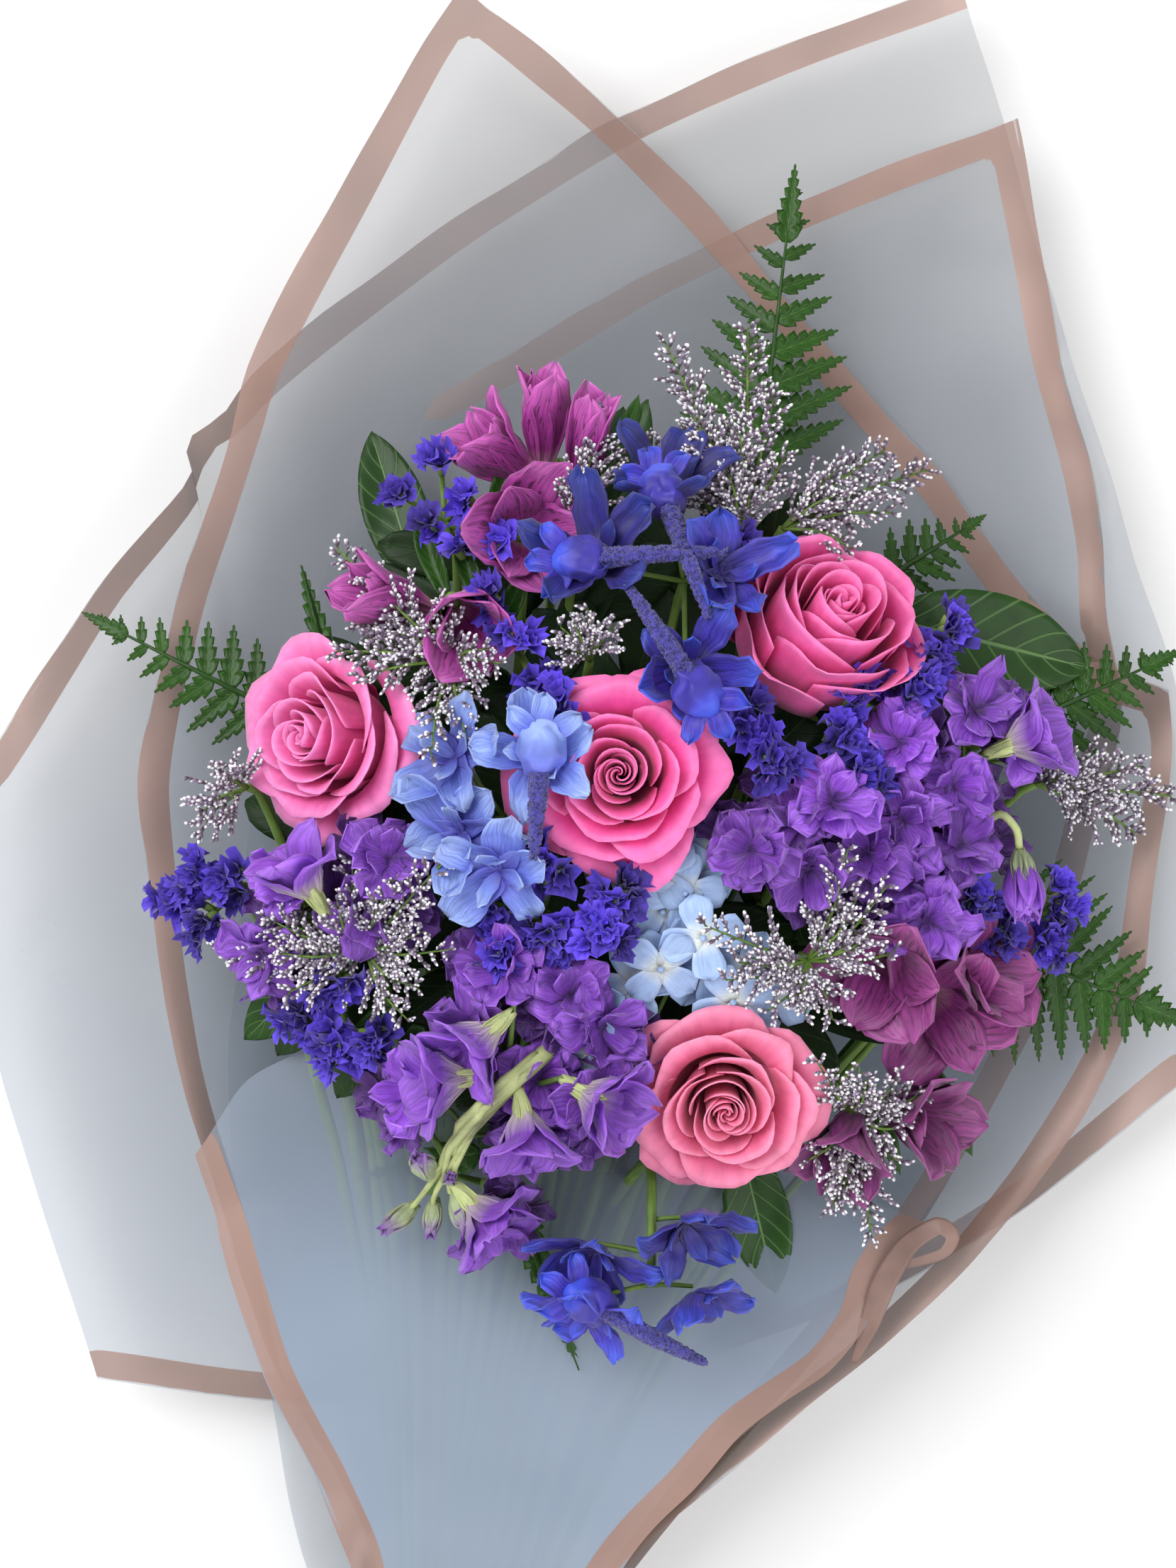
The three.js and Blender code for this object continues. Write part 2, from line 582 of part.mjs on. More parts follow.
// A frond: leaflets in pairs on a rachis, longest a third of the way up, the tip one ending it.
function frond(root, end, reach, pairs) {
  const aim = end.clone().sub(root);
  const length = aim.length();
  aim.normalize();
  const side = aim.clone().cross(UP).normalize();
  const middle = along(root, end, 0.5).addScaledVector(UP, FROND.arch);
  const spine = [root, middle, end];
  const shapes = [stalk(spine, FROND.radii, 4)];
  for (let k = 0; k < pairs; k += 1) {
    const share = (k + FROND.first) / pairs;
    const foot = share < 0.5 ? along(root, middle, share * 2) : along(middle, end, share * 2 - 1);
    const long = reach * Math.min(FROND.full + share, 1) * (FROND.taper - share);
    for (const hand of [-1, 1]) {
      const out = side.clone().multiplyScalar(hand).addScaledVector(aim, FROND.sweep).normalize();
      const width = Math.min(length / pairs * LEAFLET.crowd, long * LEAFLET.widest);
      const pinna = leaf({ ...LEAFLET, length: long, width, outline: PINNA });
      shapes.push(pinna.applyMatrix4(leafFrame(foot, out)));
    }
  }
  return shapes;
}

function leafFrame(root, out) {
  const across = out.clone().cross(UP).normalize();
  const normal = across.clone().cross(out);
  return new THREE.Matrix4().makeBasis(across, out, normal).setPosition(root);
}

const LEAF_SINK = 7;             // how far a leaf's foot runs back into its stem
function broadLeafNodes() {
  return BROAD_LEAVES.map(({ name, base, tip, width }) => {
    const root = at(...base);
    const end = at(...tip);
    const out = end.clone().sub(root);
    const length = out.length();
    return { name: `broad_leaf_${name}`, tint: "broad_leaf", radius: THIN_STEM, rachis: [root],
      head: () => [leaf({ length: length + LEAF_SINK, width, outline: BROAD_LEAF, arch: 0.35, cup: 0.18,
        thick: 1.2 }).applyMatrix4(leafFrame(along(root, end, -LEAF_SINK / length),
        out.clone().normalize().addScaledVector(UP, 0.12).normalize()))] };
  });
}

// ---- the film: each sheet is a patch between four edges, lying flat under the flowers ----
const SHEET_COLUMNS = 8;
const SHEET_ROWS = 11;
const LAYER = { wide: 0, middle: 2.9, inner: 5.8 };
const GATHER = [0.13, 0.36];     // share of the length over which a sheet opens from the neck
const FAR_CURL = 7;
const SIDE_CURL = [7, 3];        // how sharply the sides turn up, at the neck and at the far end
const TUCK = 2.6;                // room kept between one sheet and the next
const WIDE_TUCK = TUCK * 2.1;    // and under the whole stack

const SKIRT_END = NECK.y - TAIL;
const GATHERS = {
  inner: { across: 22.3, deep: 22, start: 0, side: -1 },
  middle: { across: 24.8, deep: 24.6, start: 0.4, side: -1 },
  front: { across: 23.8, deep: 23.6, start: 0.06, side: 1 },
};

function gatherPoint({ across, deep, start, side }, share, y) {
  const angle = start + share * (Math.PI - 2 * start);
  return [NECK.x - across * Math.cos(angle), y, NECK.z + side * deep * Math.sin(angle)];
}

function gatherArc(gather) {
  return [0, 0.12, 0.26, 0.42, 0.58, 0.74, 0.88, 1].map((share) =>
    gatherPoint(gather, share, SKIRT_END));
}

function gatherEdge(gather, share) {
  return [SKIRT_END, NECK.y - 26, NECK.y + 4].map((y) => gatherPoint(gather, share, y));
}

const SHEETS = {
  inner: {
    left: [...gatherEdge(GATHERS.inner, 0), [-77, -273, 54], [-88, -243, 58], [-109, -203, 60],
      [-124, -155, 56], [-141, -109, 48], [-151, -63, 44], [-155, -25, 42], [-157, 0, 42],
      [-153, 28, 42], [-144, 66, 42], [-134, 96, 42], [-124, 127, 42], [-116, 151, 42],
      [-88, 203, 44], [-60, 255, 46], [-45, 278, 48]],
    right: [...gatherEdge(GATHERS.inner, 1), [13, -273, 58], [40, -244, 61], [70, -220, 62],
      [100, -196, 60], [133, -166, 55], [158, -136, 50], [181, -101, 46], [194, -69, 44],
      [200, -27, 44], [205, 11, 46], [204, 33, 40]],
    near: gatherArc(GATHERS.inner),
    far: [[-45, 278, 48], [11, 236, 32], [59, 188, 22], [98, 143, 18], [127, 110, 18],
      [154, 72, 20], [182, 43, 26], [204, 33, 40]],
    floor: LAYER.inner, gathered: true,
  },
  middle: {
    left: [...gatherEdge(GATHERS.middle, 0), [-100, -281, 34], [-113, -218, 26], [-121, -183, 16],
      [-130, -113, 12], [-119, 0, 10], [-91, 85, 10], [-54, 141, 12]],
    right: [...gatherEdge(GATHERS.middle, 1), [28, -267, 20], [113, -170, 12], [155, -99, 14],
      [174, -42, 18], [184, 0, 24], [189, 28, 30], [184, 58, 34], [183, 83, 34], [178, 111, 34],
      [167, 152, 34], [159, 194, 34], [151, 236, 32]],
    near: gatherArc(GATHERS.middle),
    far: [[-54, 141, 12], [-17, 161, 16], [22, 184, 20], [70, 206, 24], [111, 222, 28],
      [151, 236, 32]],
    floor: LAYER.middle, gathered: true,
  },
  wide: {
    left: [[-174, -211, 30], [-191, -155, 36], [-207, -102, 38], [-214, -41, 40], [-213, 7, 40]],
    right: [[211, -105, 34], [213, -28, 42], [207, 33, 42], [185, 105, 38], [161, 183, 34],
      [132, 285, 30]],
    near: [[-174, -211, 30], [-114, -221, 20], [-25, -226, 14], [23, -215, 14], [71, -198, 14],
      [113, -179, 18], [156, -151, 26], [211, -105, 34]],
    far: [[-213, 7, 40], [-190, 41, 40], [-171, 70, 40], [-141, 109, 38], [-143, 122, 36],
      [-128, 133, 32], [-114, 149, 28], [-53, 198, 22], [11, 238, 22], [70, 264, 24],
      [120, 281, 28], [132, 285, 30]],
    floor: LAYER.wide, gathered: false,
  },
  front: {
    left: [...gatherEdge(GATHERS.front, 0), [-79, -273, 66], [-90, -243, 67], [-111, -203, 66],
      [-126, -155, 62], [-136, -128, 58]],
    right: [...gatherEdge(GATHERS.front, 1), [11, -269, 66], [35, -242, 68], [51, -224, 69],
      [67, -212, 70], [83, -200, 72], [95, -184, 72], [100, -168, 72], [110, -156, 72],
      [122, -153, 70]],
    near: gatherArc(GATHERS.front),
    far: [[-136, -128, 58], [-90, -146, 60], [-30, -156, 62], [30, -159, 63], [90, -157, 67],
      [122, -153, 70]],
    floor: null, gathered: true,
  },
};

function edge(points) {
  return new THREE.CatmullRomCurve3(points.map((p) => new THREE.Vector3(...p)), false,
    "catmullrom", 0.4);
}

function patch({ left, right, near, far, floor, gathered }) {
  const curves = { left: edge(left), right: edge(right), near: edge(near), far: edge(far) };
  const ends = { near: [near[0], near.at(-1)], far: [far[0], far.at(-1)] };
  const bulge = (name, u) => {
    const [first, last] = ends[name].map((p) => new THREE.Vector3(...p));
    return curves[name].getPointAt(u).sub(first.lerp(last, u));
  };
  return (u, v) => {
    const l = curves.left.getPointAt(v);
    const r = curves.right.getPointAt(v);
    const open = gathered ? THREE.MathUtils.smoothstep(v, ...GATHER) : v;
    const point = l.clone().lerp(r, u).addScaledVector(bulge("near", u), 1 - open)
      .addScaledVector(bulge("far", u), gathered ? open * v : v);
    if (floor === null) return point;
    const sides = THREE.MathUtils.lerp(l.z, r.z, u);
    const rise = Math.abs(2 * u - 1) ** THREE.MathUtils.lerp(...SIDE_CURL, Math.sqrt(v));
    let trough = floor + Math.max((sides - floor) * (rise - 0.015), 0);
    trough = THREE.MathUtils.lerp(trough, curves.far.getPointAt(u).z, v ** FAR_CURL);
    if (!gathered) trough = THREE.MathUtils.lerp(trough, curves.near.getPointAt(u).z,
      (1 - v) ** FAR_CURL);
    const start = gathered ? curves.near.getPointAt(u).z : point.z;
    point.z = THREE.MathUtils.lerp(start, Math.max(trough, floor), gathered ? open : 1);
    return point;
  };
}

function sheetGrid(surface) {
  const rows = [];
  for (let j = 0; j <= SHEET_ROWS; j += 1) {
    const row = [];
    for (let i = 0; i <= SHEET_COLUMNS; i += 1) {
      const x = i / SHEET_COLUMNS;
      const u = THREE.MathUtils.lerp(x, 0.5 - 0.5 * Math.cos(Math.PI * x), 0.5);
      row.push(surface(u, j / SHEET_ROWS));
    }
    rows.push(row);
  }
  return rows;
}

function trianglesOf(grid) {
  const faces = [];
  for (let j = 0; j + 1 < grid.length; j += 1) {
    for (let i = 0; i + 1 < grid[0].length; i += 1) {
      const [a, b, c, d] = [grid[j][i], grid[j][i + 1], grid[j + 1][i + 1], grid[j + 1][i]];
      faces.push([a, b, d], [b, c, d]);
    }
  }
  return faces;
}

// The triangle of a sheet over a plan position and its height there, or null beyond its edge.
function faceAt(faces, x, y) {
  const spot = new THREE.Vector3(x, y, 0);
  let found = null;
  for (const corners of faces) {
    const flat = new THREE.Triangle(...corners.map((p) => new THREE.Vector3(p.x, p.y, 0)));
    if (flat.getArea() < 1e-6 || !flat.containsPoint(spot)) continue;
    const w = flat.getBarycoord(spot, new THREE.Vector3());
    const z = corners[0].z * w.x + corners[1].z * w.y + corners[2].z * w.z;
    if (found === null || z < found.z) found = { z, corners };
  }
  return found;
}

const TUCK_ROUNDS = 8;
function tuckUnder(grid, above, room = TUCK) {
  const own = trianglesOf(grid);
  const lower = (point, z) => { point.z = Math.max(Math.min(point.z, z), 0); };
  for (const cover of above) {
    const faces = trianglesOf(cover);
    for (let round = 0; round < TUCK_ROUNDS; round += 1) {
      for (const point of grid.flat()) {
        if (point.y < NECK.y) continue;
        const over = faceAt(faces, point.x, point.y);
        if (over) lower(point, over.z - room);
      }
      for (const point of cover.flat()) {
        if (point.y < NECK.y) continue;
        const under = faceAt(own, point.x, point.y);
        const excess = under ? under.z - (point.z - room) : 0;
        if (excess > 0) under.corners.forEach((corner) => lower(corner, corner.z - excess));
      }
    }
  }
}

// A sheet is offset along its normal. A box's under face, its last group, mirrors the upper
// one, so its diagonals are turned to give both faces the same triangles.
function filmSheet(grid) {
  const skin = new THREE.BoxGeometry(1, 1, 1, SHEET_COLUMNS, SHEET_ROWS, 1);
  const under = skin.groups.at(-1);
  for (let k = under.start; k < under.start + under.count; k += QUAD) turnDiagonal(skin.index, k);
  const spot = skin.attributes.position;
  for (let k = 0; k < spot.count; k += 1) {
    const i = Math.round((spot.getX(k) + 0.5) * SHEET_COLUMNS);
    const j = Math.round((spot.getY(k) + 0.5) * SHEET_ROWS);
    const right = grid[j][Math.min(i + 1, SHEET_COLUMNS)].clone().sub(grid[j][Math.max(i - 1, 0)]);
    const ahead = grid[Math.min(j + 1, SHEET_ROWS)][i].clone().sub(grid[Math.max(j - 1, 0)][i]);
    const normal = right.cross(ahead).normalize();
    const moved = grid[j][i].clone().addScaledVector(normal, spot.getZ(k) * FILM);
    spot.setXYZ(k, moved.x, moved.y, moved.z + FILM / 2);
  }
  return skin;
}

function filmNodes() {
  const grids = {};
  for (const [name, plan] of Object.entries(SHEETS)) grids[name] = sheetGrid(patch(plan));
  tuckUnder(grids.inner, [grids.front]);
  tuckUnder(grids.middle, [grids.inner]);
  tuckUnder(grids.wide, [grids.middle, grids.inner], WIDE_TUCK);
  return Object.entries(grids).map(([name, grid]) => ({
    name: `film_${name}`, tint: "film", grid, head: () => [filmSheet(grid)],
  }));
}

// ---- ties: a ring of twine round the stems, a ribbon round the gathered film ----
const TWINE = { across: 19.5, deep: 19.5, wall: 1.4, width: 8, y: NECK.y - 10 };
const RIBBON = { across: 29.4, deep: 27.8, wall: 1.2, width: 14, y: NECK.y - 14 };

function band({ across, deep, wall, width, y }, z) {
  const outer = new THREE.Shape().absellipse(0, 0, across, deep, 0, 2 * Math.PI);
  const inner = new THREE.Path().absellipse(0, 0, across - wall, deep - wall, 0, 2 * Math.PI);
  outer.holes.push(inner);
  return new THREE.ExtrudeGeometry(outer, { depth: width, bevelEnabled: false, curveSegments: 12 })
    .rotateX(Math.PI / 2).translate(NECK.x, y + width / 2, z);
}

function tieNodes() {
  return [
    { name: "stem_twine", tint: "twine", head: () => [band(TWINE, NECK.z)] },
    { name: "wrap_ribbon", tint: "ribbon", head: () => [band(RIBBON, NECK.z)] },
  ];
}

// ---- stems: slots in the neck, then a curve to each head, nestled so that none cross ----
const ROW_RISE = SLOT_PITCH * Math.sqrt(3) / 2;
function slots(count) {
  const spots = [];
  SLOT_ROWS.forEach((size, row) => {
    for (let k = 0; k < size; k += 1) {
      spots.push(new THREE.Vector3(NECK.x + (k - (size - 1) / 2) * SLOT_PITCH, NECK.y,
        NECK.z + (row - (SLOT_ROWS.length - 1) / 2) * ROW_RISE));
    }
  });
  if (spots.length < count) throw new Error(`only ${spots.length} slots for ${count} stems`);
  return spots;
}

function assignSlots(stems) {
  const spots = slots(stems.length);
  const rise = ({ hub }) => (hub.z - NECK.z) / (hub.y - NECK.y);
  const bearing = ({ hub }) => (hub.x - NECK.x) / (hub.y - NECK.y);
  const waiting = [...stems].sort((a, b) => rise(a) - rise(b));
  SLOT_ROWS.forEach((size) => {
    const row = waiting.splice(0, size).sort((a, b) => bearing(a) - bearing(b));
    const places = spots.splice(0, size);
    const spare = Math.floor((size - row.length) / 2);
    row.forEach((stem, k) => { stem.slot = places[k + spare]; });
  });
}

const LEAVE = 0.3;               // how far a stem runs straight at each end, as a share of its reach
const LONGEST_ARRIVAL = 46;
const RAGGED = 9;                // the cut ends differ by up to this much
function firstPath({ slot, hub, aim }) {
  const reach = hub.distanceTo(slot);
  const leave = slot.clone().add(new THREE.Vector3(0, reach * LEAVE, 0));
  const arrive = hub.clone().addScaledVector(aim, -Math.min(reach * LEAVE, LONGEST_ARRIVAL));
  const curve = new THREE.CubicBezierCurve3(slot, leave, arrive, hub);
  const ragged = (slot.x * 7 + slot.z * 3) % RAGGED;
  const tail = slot.clone().add(new THREE.Vector3(0, ragged - TAIL, 0));
  return [tail, ...curve.getPoints(STEM_SEGMENTS)];
}

const PUSH_ROUNDS = 280;
const LIFT_EVERY = 14;
const STRAIGHTEN = 0.006;        // how far each round draws a bend towards straight
const STEM_GAP = GAP * 0.4;      // stems in a tied bunch lie nearly touching
function nestle(stems, bulks, floorAt) {
  for (let round = 0; round < PUSH_ROUNDS; round += 1) {
    for (const stem of stems) relax(stem);
    for (let a = 0; a < stems.length; a += 1) {
      for (const ball of bulks) if (ball.owner !== stems[a].node.name) pushOut(stems[a], ball);
      for (let b = a + 1; b < stems.length; b += 1) pushApart(stems[a], stems[b]);
    }
    const lift = round % LIFT_EVERY === 0 ? floorAt : null;
    for (const stem of stems) hold(stem, lift);
  }
}

function relax({ path }) {
  for (let i = 2; i + 1 < path.length; i += 1) {
    const middle = along(path[i - 1], path[i + 1], 0.5);
    path[i].lerp(middle, STRAIGHTEN);
  }
}

// The film's funnel: how far the stems may spread at each distance from the neck.
const FUNNEL = [[-400, -67.5, -30.5], [-345, -67.5, -30.5], [-300, -67, -22], [-273, -66, -4],
  [-243, -76, 22], [-203, -94, 76], [-155, -108, 112], [-110, -132, 170], [300, -400, 400]];

function funnelAt(y) {
  const k = Math.max(FUNNEL.findIndex(([level]) => level > y), 1);
  const [below, above] = [FUNNEL[k - 1], FUNNEL[k]];
  const share = THREE.MathUtils.clamp((y - below[0]) / (above[0] - below[0]), 0, 1);
  return [1, 2].map((side) => THREE.MathUtils.lerp(below[side], above[side], share));
}

function hold({ path, node }, floorAt) {
  for (let i = 2; i + 1 < path.length; i += 1) {
    const [least, most] = funnelAt(path[i].y);
    path[i].x = THREE.MathUtils.clamp(path[i].x, least, most);
    path[i].z = Math.max(path[i].z, STEM_FLOOR + node.radius);
    if (path[i].y < FLAP_LINE) path[i].z = Math.min(path[i].z, FLAP_CEILING - node.radius);
    if (floorAt) liftOver(path, i, node.radius, floorAt);
  }
}

const LIFT_SPOTS = [0, 0.33, 0.67];
function liftOver(path, i, radius, floorAt) {
  for (const share of LIFT_SPOTS) {
    const point = along(path[i], path[i - 1], share);
    const film = floorAt(point.x, point.y);
    const short = film === null ? 0 : film + radius + FILM + GAP - point.z;
    if (short > 0) {
      path[i].z += short;
      if (isFree(path, i - 1)) path[i - 1].z += short * share;
    }
  }
}

function isFree(path, i) {
  return i > 1 && i < path.length - 1;
}

function pushApart(one, two) {
  const need = one.node.radius + two.node.radius + STEM_GAP;
  for (let i = 1; i + 1 < one.path.length; i += 1) {
    for (let k = 1; k + 1 < two.path.length; k += 1) {
      const [s, t, from, to] = closest(one.path[i], one.path[i + 1], two.path[k], two.path[k + 1]);
      const gap = from.distanceTo(to);
      if (gap >= need) continue;
      const away = gap > 1e-3 ? from.clone().sub(to).divideScalar(gap) : new THREE.Vector3(1, 0, 0);
      const move = (need - gap) * 0.5;
      shift(one.path, i, s, away, move);
      shift(two.path, k, t, away, -move);
    }
  }
}

function pushOut(stem, ball) {
  for (let i = 1; i + 1 < stem.path.length; i += 1) {
    const line = new THREE.Line3(stem.path[i], stem.path[i + 1]);
    const s = line.closestPointToPointParameter(ball.middle, true);
    const point = line.at(s, new THREE.Vector3());
    const gap = point.distanceTo(ball.middle);
    const need = ball.radius + stem.node.radius + GAP;
    if (gap < need) {
      shift(stem.path, i, s, point.sub(ball.middle).normalize(), need - gap);
    }
  }
}

function shift(path, i, share, away, move) {
  if (isFree(path, i)) path[i].addScaledVector(away, move * (1 - share));
  if (isFree(path, i + 1)) path[i + 1].addScaledVector(away, move * share);
}

function closest(a0, a1, b0, b1) {
  const a = a1.clone().sub(a0);
  const b = b1.clone().sub(b0);
  const r = a0.clone().sub(b0);
  const aa = a.dot(a);
  const bb = b.dot(b);
  const ab = a.dot(b);
  const ar = a.dot(r);
  const br = b.dot(r);
  const clamp = THREE.MathUtils.clamp;
  const det = aa * bb - ab * ab;
  let s = det > 1e-9 ? clamp((ab * br - ar * bb) / det, 0, 1) : 0;
  const t = clamp((ab * s + br) / bb, 0, 1);
  s = clamp((ab * t - ar) / aa, 0, 1);
  return [s, t, a0.clone().addScaledVector(a, s), b0.clone().addScaledVector(b, t)];
}

// ---- solids ----
function weld(geometry) {
  const bare = geometry.clone();
  bare.deleteAttribute("normal");
  bare.deleteAttribute("uv");
  return mergeVertices(bare, 1e-4);
}

function solid(geometry, grow = 0) {
  const skin = weld(geometry);
  if (grow > 0) {
    skin.computeVertexNormals();
    const spot = skin.attributes.position;
    const normal = skin.attributes.normal;
    for (let i = 0; i < spot.count; i += 1) {
      spot.setXYZ(i, spot.getX(i) + normal.getX(i) * grow, spot.getY(i) + normal.getY(i) * grow,
        spot.getZ(i) + normal.getZ(i) * grow);
    }
  }
  return new wasm.Manifold(new wasm.Mesh({
    numProp: 3,
    vertProperties: new Float32Array(skin.attributes.position.array),
    triVerts: new Uint32Array(skin.index.array),
  }));
}

// A block a little larger than a small body, to clear a graze between two stems or petals.
function grownBox(body) {
  const { min, max } = body.boundingBox();
  const size = max.map((high, k) => high - min[k] + 2 * GAP);
  const block = new THREE.BoxGeometry(...size);
  return solid(block.translate(...max.map((high, k) => (high + min[k]) / 2)));
}

const SCRAP = 0.004;
function clearOf(body, done) {
  return done.reduce((left, other) => {
    if (!boxesMeet(left, other.body) || left.intersect(other.body).volume() < SCRAP) return left;
    const common = left.intersect(other.body);
    return left.subtract(grownBox(common)).subtract(solid(surfaceOf(other.body), GAP));
  }, body);
}

function joined(shapes, grow = 0) {
  return shapes.length ? wasm.Manifold.union(shapes.map((shape) => solid(shape, grow))) : null;
}

function boxesMeet(a, b) {
  const one = a.boundingBox();
  const two = b.boundingBox();
  return [0, 1, 2].every((k) => one.min[k] < two.max[k] && two.min[k] < one.max[k]);
}

function largest(body) {
  return body.decompose().reduce((best, piece) => (piece.volume() > best.volume() ? piece : best));
}

function cutBy(body, cutters) {
  const near = cutters.filter((cutter) => cutter && boxesMeet(body, cutter));
  return near.length ? body.subtract(wasm.Manifold.union(near)) : body;
}

function assemble() {
  const fixed = [...filmNodes(), ...tieNodes()];
  const grown = [...roseNodes(), ...stockNodes(), ...larkspurNodes(), hydrangeaNode(),
    ...alstroemeriaNodes(), ...staticeNodes(), ...seaLavenderNodes(), ...broadLeafNodes(),
    ...fernNodes()];
  const stems = grown.filter((node) => node.rachis).map((node) => ({
    node, hub: node.rachis[0], aim: node.aim ?? outward(node.rachis[0]),
  }));
  assignSlots(stems);
  for (const stem of stems) stem.path = firstPath(stem);
  const bulks = grown.filter((node) => node.bulk)
    .map((node) => ({ ...node.bulk, owner: node.name.replace("bloom", "stem") }));
  const bed = trianglesOf(fixed.find(({ name }) => name === "film_inner").grid);
  nestle(stems, bulks, (x, y) => faceAt(bed, x, y)?.z ?? null);
  for (const stem of stems) {
    const line = [...stem.path, ...stem.node.rachis.slice(1)];
    const { radius, sides = 3, guard } = stem.node;
    stem.node.core = [stalk(line, [radius, radius, radius, radius * 0.7], sides),
      ...(guard ? guard() : [])];
  }
  const done = fixed.map((node) => ({ node, body: joined(node.head()),
    cutter: joined(node.head(), GAP) }));
  const stemCutters = new Map(grown.filter((node) => node.core)
    .map((node) => [node, joined(node.core, GAP)]));
  for (const node of grown) {
    const head = node.head(node.rachis ?? []);
    const others = [...stemCutters].filter(([owner]) => owner !== node).map(([, cutter]) => cutter);
    const cutters = [...others, ...done.map(({ cutter }) => cutter)];
    const core = joined(node.core ?? []);
    let body = core;
    let cutter = null;
    if (head.length) {
      const whole = joined(head);
      const kept = cutBy(whole, cutters);
      body = core ? core.add(kept) : kept;
      cutter = joined(head, GAP);
    }
    body = largest(clearOf(largest(body).simplify(FINEST), done));
    done.push({ node, body, cutter });
  }
  return done;
}

function surfaceOf(body) {
  const { vertProperties, triVerts } = body.getMesh();
  const geometry = new THREE.BufferGeometry();
  geometry.setAttribute("position", new THREE.BufferAttribute(new Float32Array(vertProperties), 3));
  geometry.setIndex([...triVerts]);
  return geometry;
}

function meshOf(body, name, tint) {
  const mesh = new THREE.Mesh(surfaceOf(body), material(tint));
  mesh.name = name;
  return mesh;
}

const bouquet = new THREE.Group();
bouquet.name = "mixed_flower_bouquet";
for (const { node, body } of assemble()) bouquet.add(meshOf(body, node.name, node.tint));
const extent = new THREE.Box3().setFromObject(bouquet);
const middle = extent.getCenter(new THREE.Vector3());
for (const mesh of bouquet.children) mesh.geometry.translate(-middle.x, -middle.y, -extent.min.z);

export default bouquet;
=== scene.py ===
import math
import random
import bmesh
import bpy
from mathutils import Matrix, Quaternion, Vector, kdtree, noise
from mathutils.bvhtree import BVHTree


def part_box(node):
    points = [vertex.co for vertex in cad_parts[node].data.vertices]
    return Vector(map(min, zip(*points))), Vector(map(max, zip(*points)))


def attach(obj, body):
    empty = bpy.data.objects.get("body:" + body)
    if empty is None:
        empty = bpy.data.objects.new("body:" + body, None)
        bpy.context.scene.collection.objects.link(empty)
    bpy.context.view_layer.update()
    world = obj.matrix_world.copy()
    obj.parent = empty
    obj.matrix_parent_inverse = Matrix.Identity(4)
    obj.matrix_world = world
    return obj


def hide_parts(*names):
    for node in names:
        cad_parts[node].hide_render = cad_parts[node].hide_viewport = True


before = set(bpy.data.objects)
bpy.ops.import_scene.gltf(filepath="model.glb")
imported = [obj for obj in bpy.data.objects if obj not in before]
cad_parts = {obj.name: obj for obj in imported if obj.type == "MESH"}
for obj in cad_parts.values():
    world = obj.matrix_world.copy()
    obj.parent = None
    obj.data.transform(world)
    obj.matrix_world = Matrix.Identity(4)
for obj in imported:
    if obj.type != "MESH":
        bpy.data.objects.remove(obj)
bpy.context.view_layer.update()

bl_info = {
    "name": "Mixed flower bouquet",
    "version": (1, 0, 0),
    "blender": (4, 5, 0),
    "location": "View3D > Sidebar > Bouquet",
    "description": "Builds a mixed bouquet that lies on its back in frosted film",
    "category": "Add Mesh",
}

# ---- the plan: everything is shaped in millimetres seen from above, then set in the row frame ----
MM = 0.001
VIEW_HEIGHT = 1100.0        # the eye above the table
PLAN_LEVEL = 100.0          # plan positions are as seen at this height
HALF_VIEW = 0.26            # half the picture's height at PLAN_LEVEL, for each metre of distance
DOME_TOP = 146.0            # the heads make a dome round this centre
DOME_DROP = 102.0
DOME_REACH = 190.0
DOME_CENTRE = (10.0, 0.0)
FRONT_SQUASH = 0.72
NECK = Vector((-49.0, -345.0, 27.9))
TWINE_BACK = 10.0           # the twine and the ribbon lie this far behind the neck
RIBBON_BACK = 14.0
UP = Vector((0.0, 0.0, 1.0))
HERE = Matrix()             # for a shape that is made where it stays
GOLDEN = 2.399963           # the turn from one leaf or petal to the next in a spiral
FIFTH = 1.2566              # a fifth of a turn
NOISE_SEED = 7              # the crumples and ripples come out the same on every run

low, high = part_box("stem_twine")
TWINE_MIDDLE = Vector((NECK.x, NECK.y - TWINE_BACK, NECK.z)) * MM
TO_ROW = Matrix.Translation((low + high) / 2 - TWINE_MIDDLE) @ Matrix.Scale(MM, 4)
TO_PLAN = TO_ROW.inverted()

# ---- what grows where: plan positions, heights and sizes in millimetres ----
ROSES = {
    "left": dict(spot=(-83, 15), leans=(-0.62, 0.02, 0.8), radius=37, height=46, lift=-22, open=0.95),
    "centre": dict(spot=(11, 3), leans=(-0.05, 0.02, 1), radius=37, height=46, lift=-14, open=1.1),
    "upper_right": dict(spot=(76, 49), leans=(0.34, 0.52, 0.78), radius=33, height=52, lift=-18,
        open=0.35),
    "lower": dict(spot=(45, -104), leans=(0.02, -0.22, 0.97), radius=34, height=44, lift=-14, open=1.0),
}
STOCKS = {
    "right_upper": dict(hub=(114, 4), spots=((103, 14), (121, -1), (129, 25), (104, -12), (142, 16))),
    "centre_right": dict(hub=(68, -20), spots=((68, -10), (54, -22), (81, -5), (73, -29))),
    "right": dict(hub=(112, -31), spots=((104, -31), (124, -20), (113, -46), (92, -23), (144, -34))),
    "lower": dict(hub=(-13, -91), bend=((-32, -107, -4), (-46, -124, -10), (-53, -135, -18)),
        spots=((-16, -98), (-58, -101), (4, -105), (-16, -117), (-32, -148), (-55, -142))),
    "lower_back": dict(hub=(-16, -75), spots=((-6, -70), (-29, -61), (-39, -81), (5, -81))),
    "left": dict(hub=(-88, -40), spots=((-99, -32), (-66, -25), (-108, -57), (-73, -42))),
}
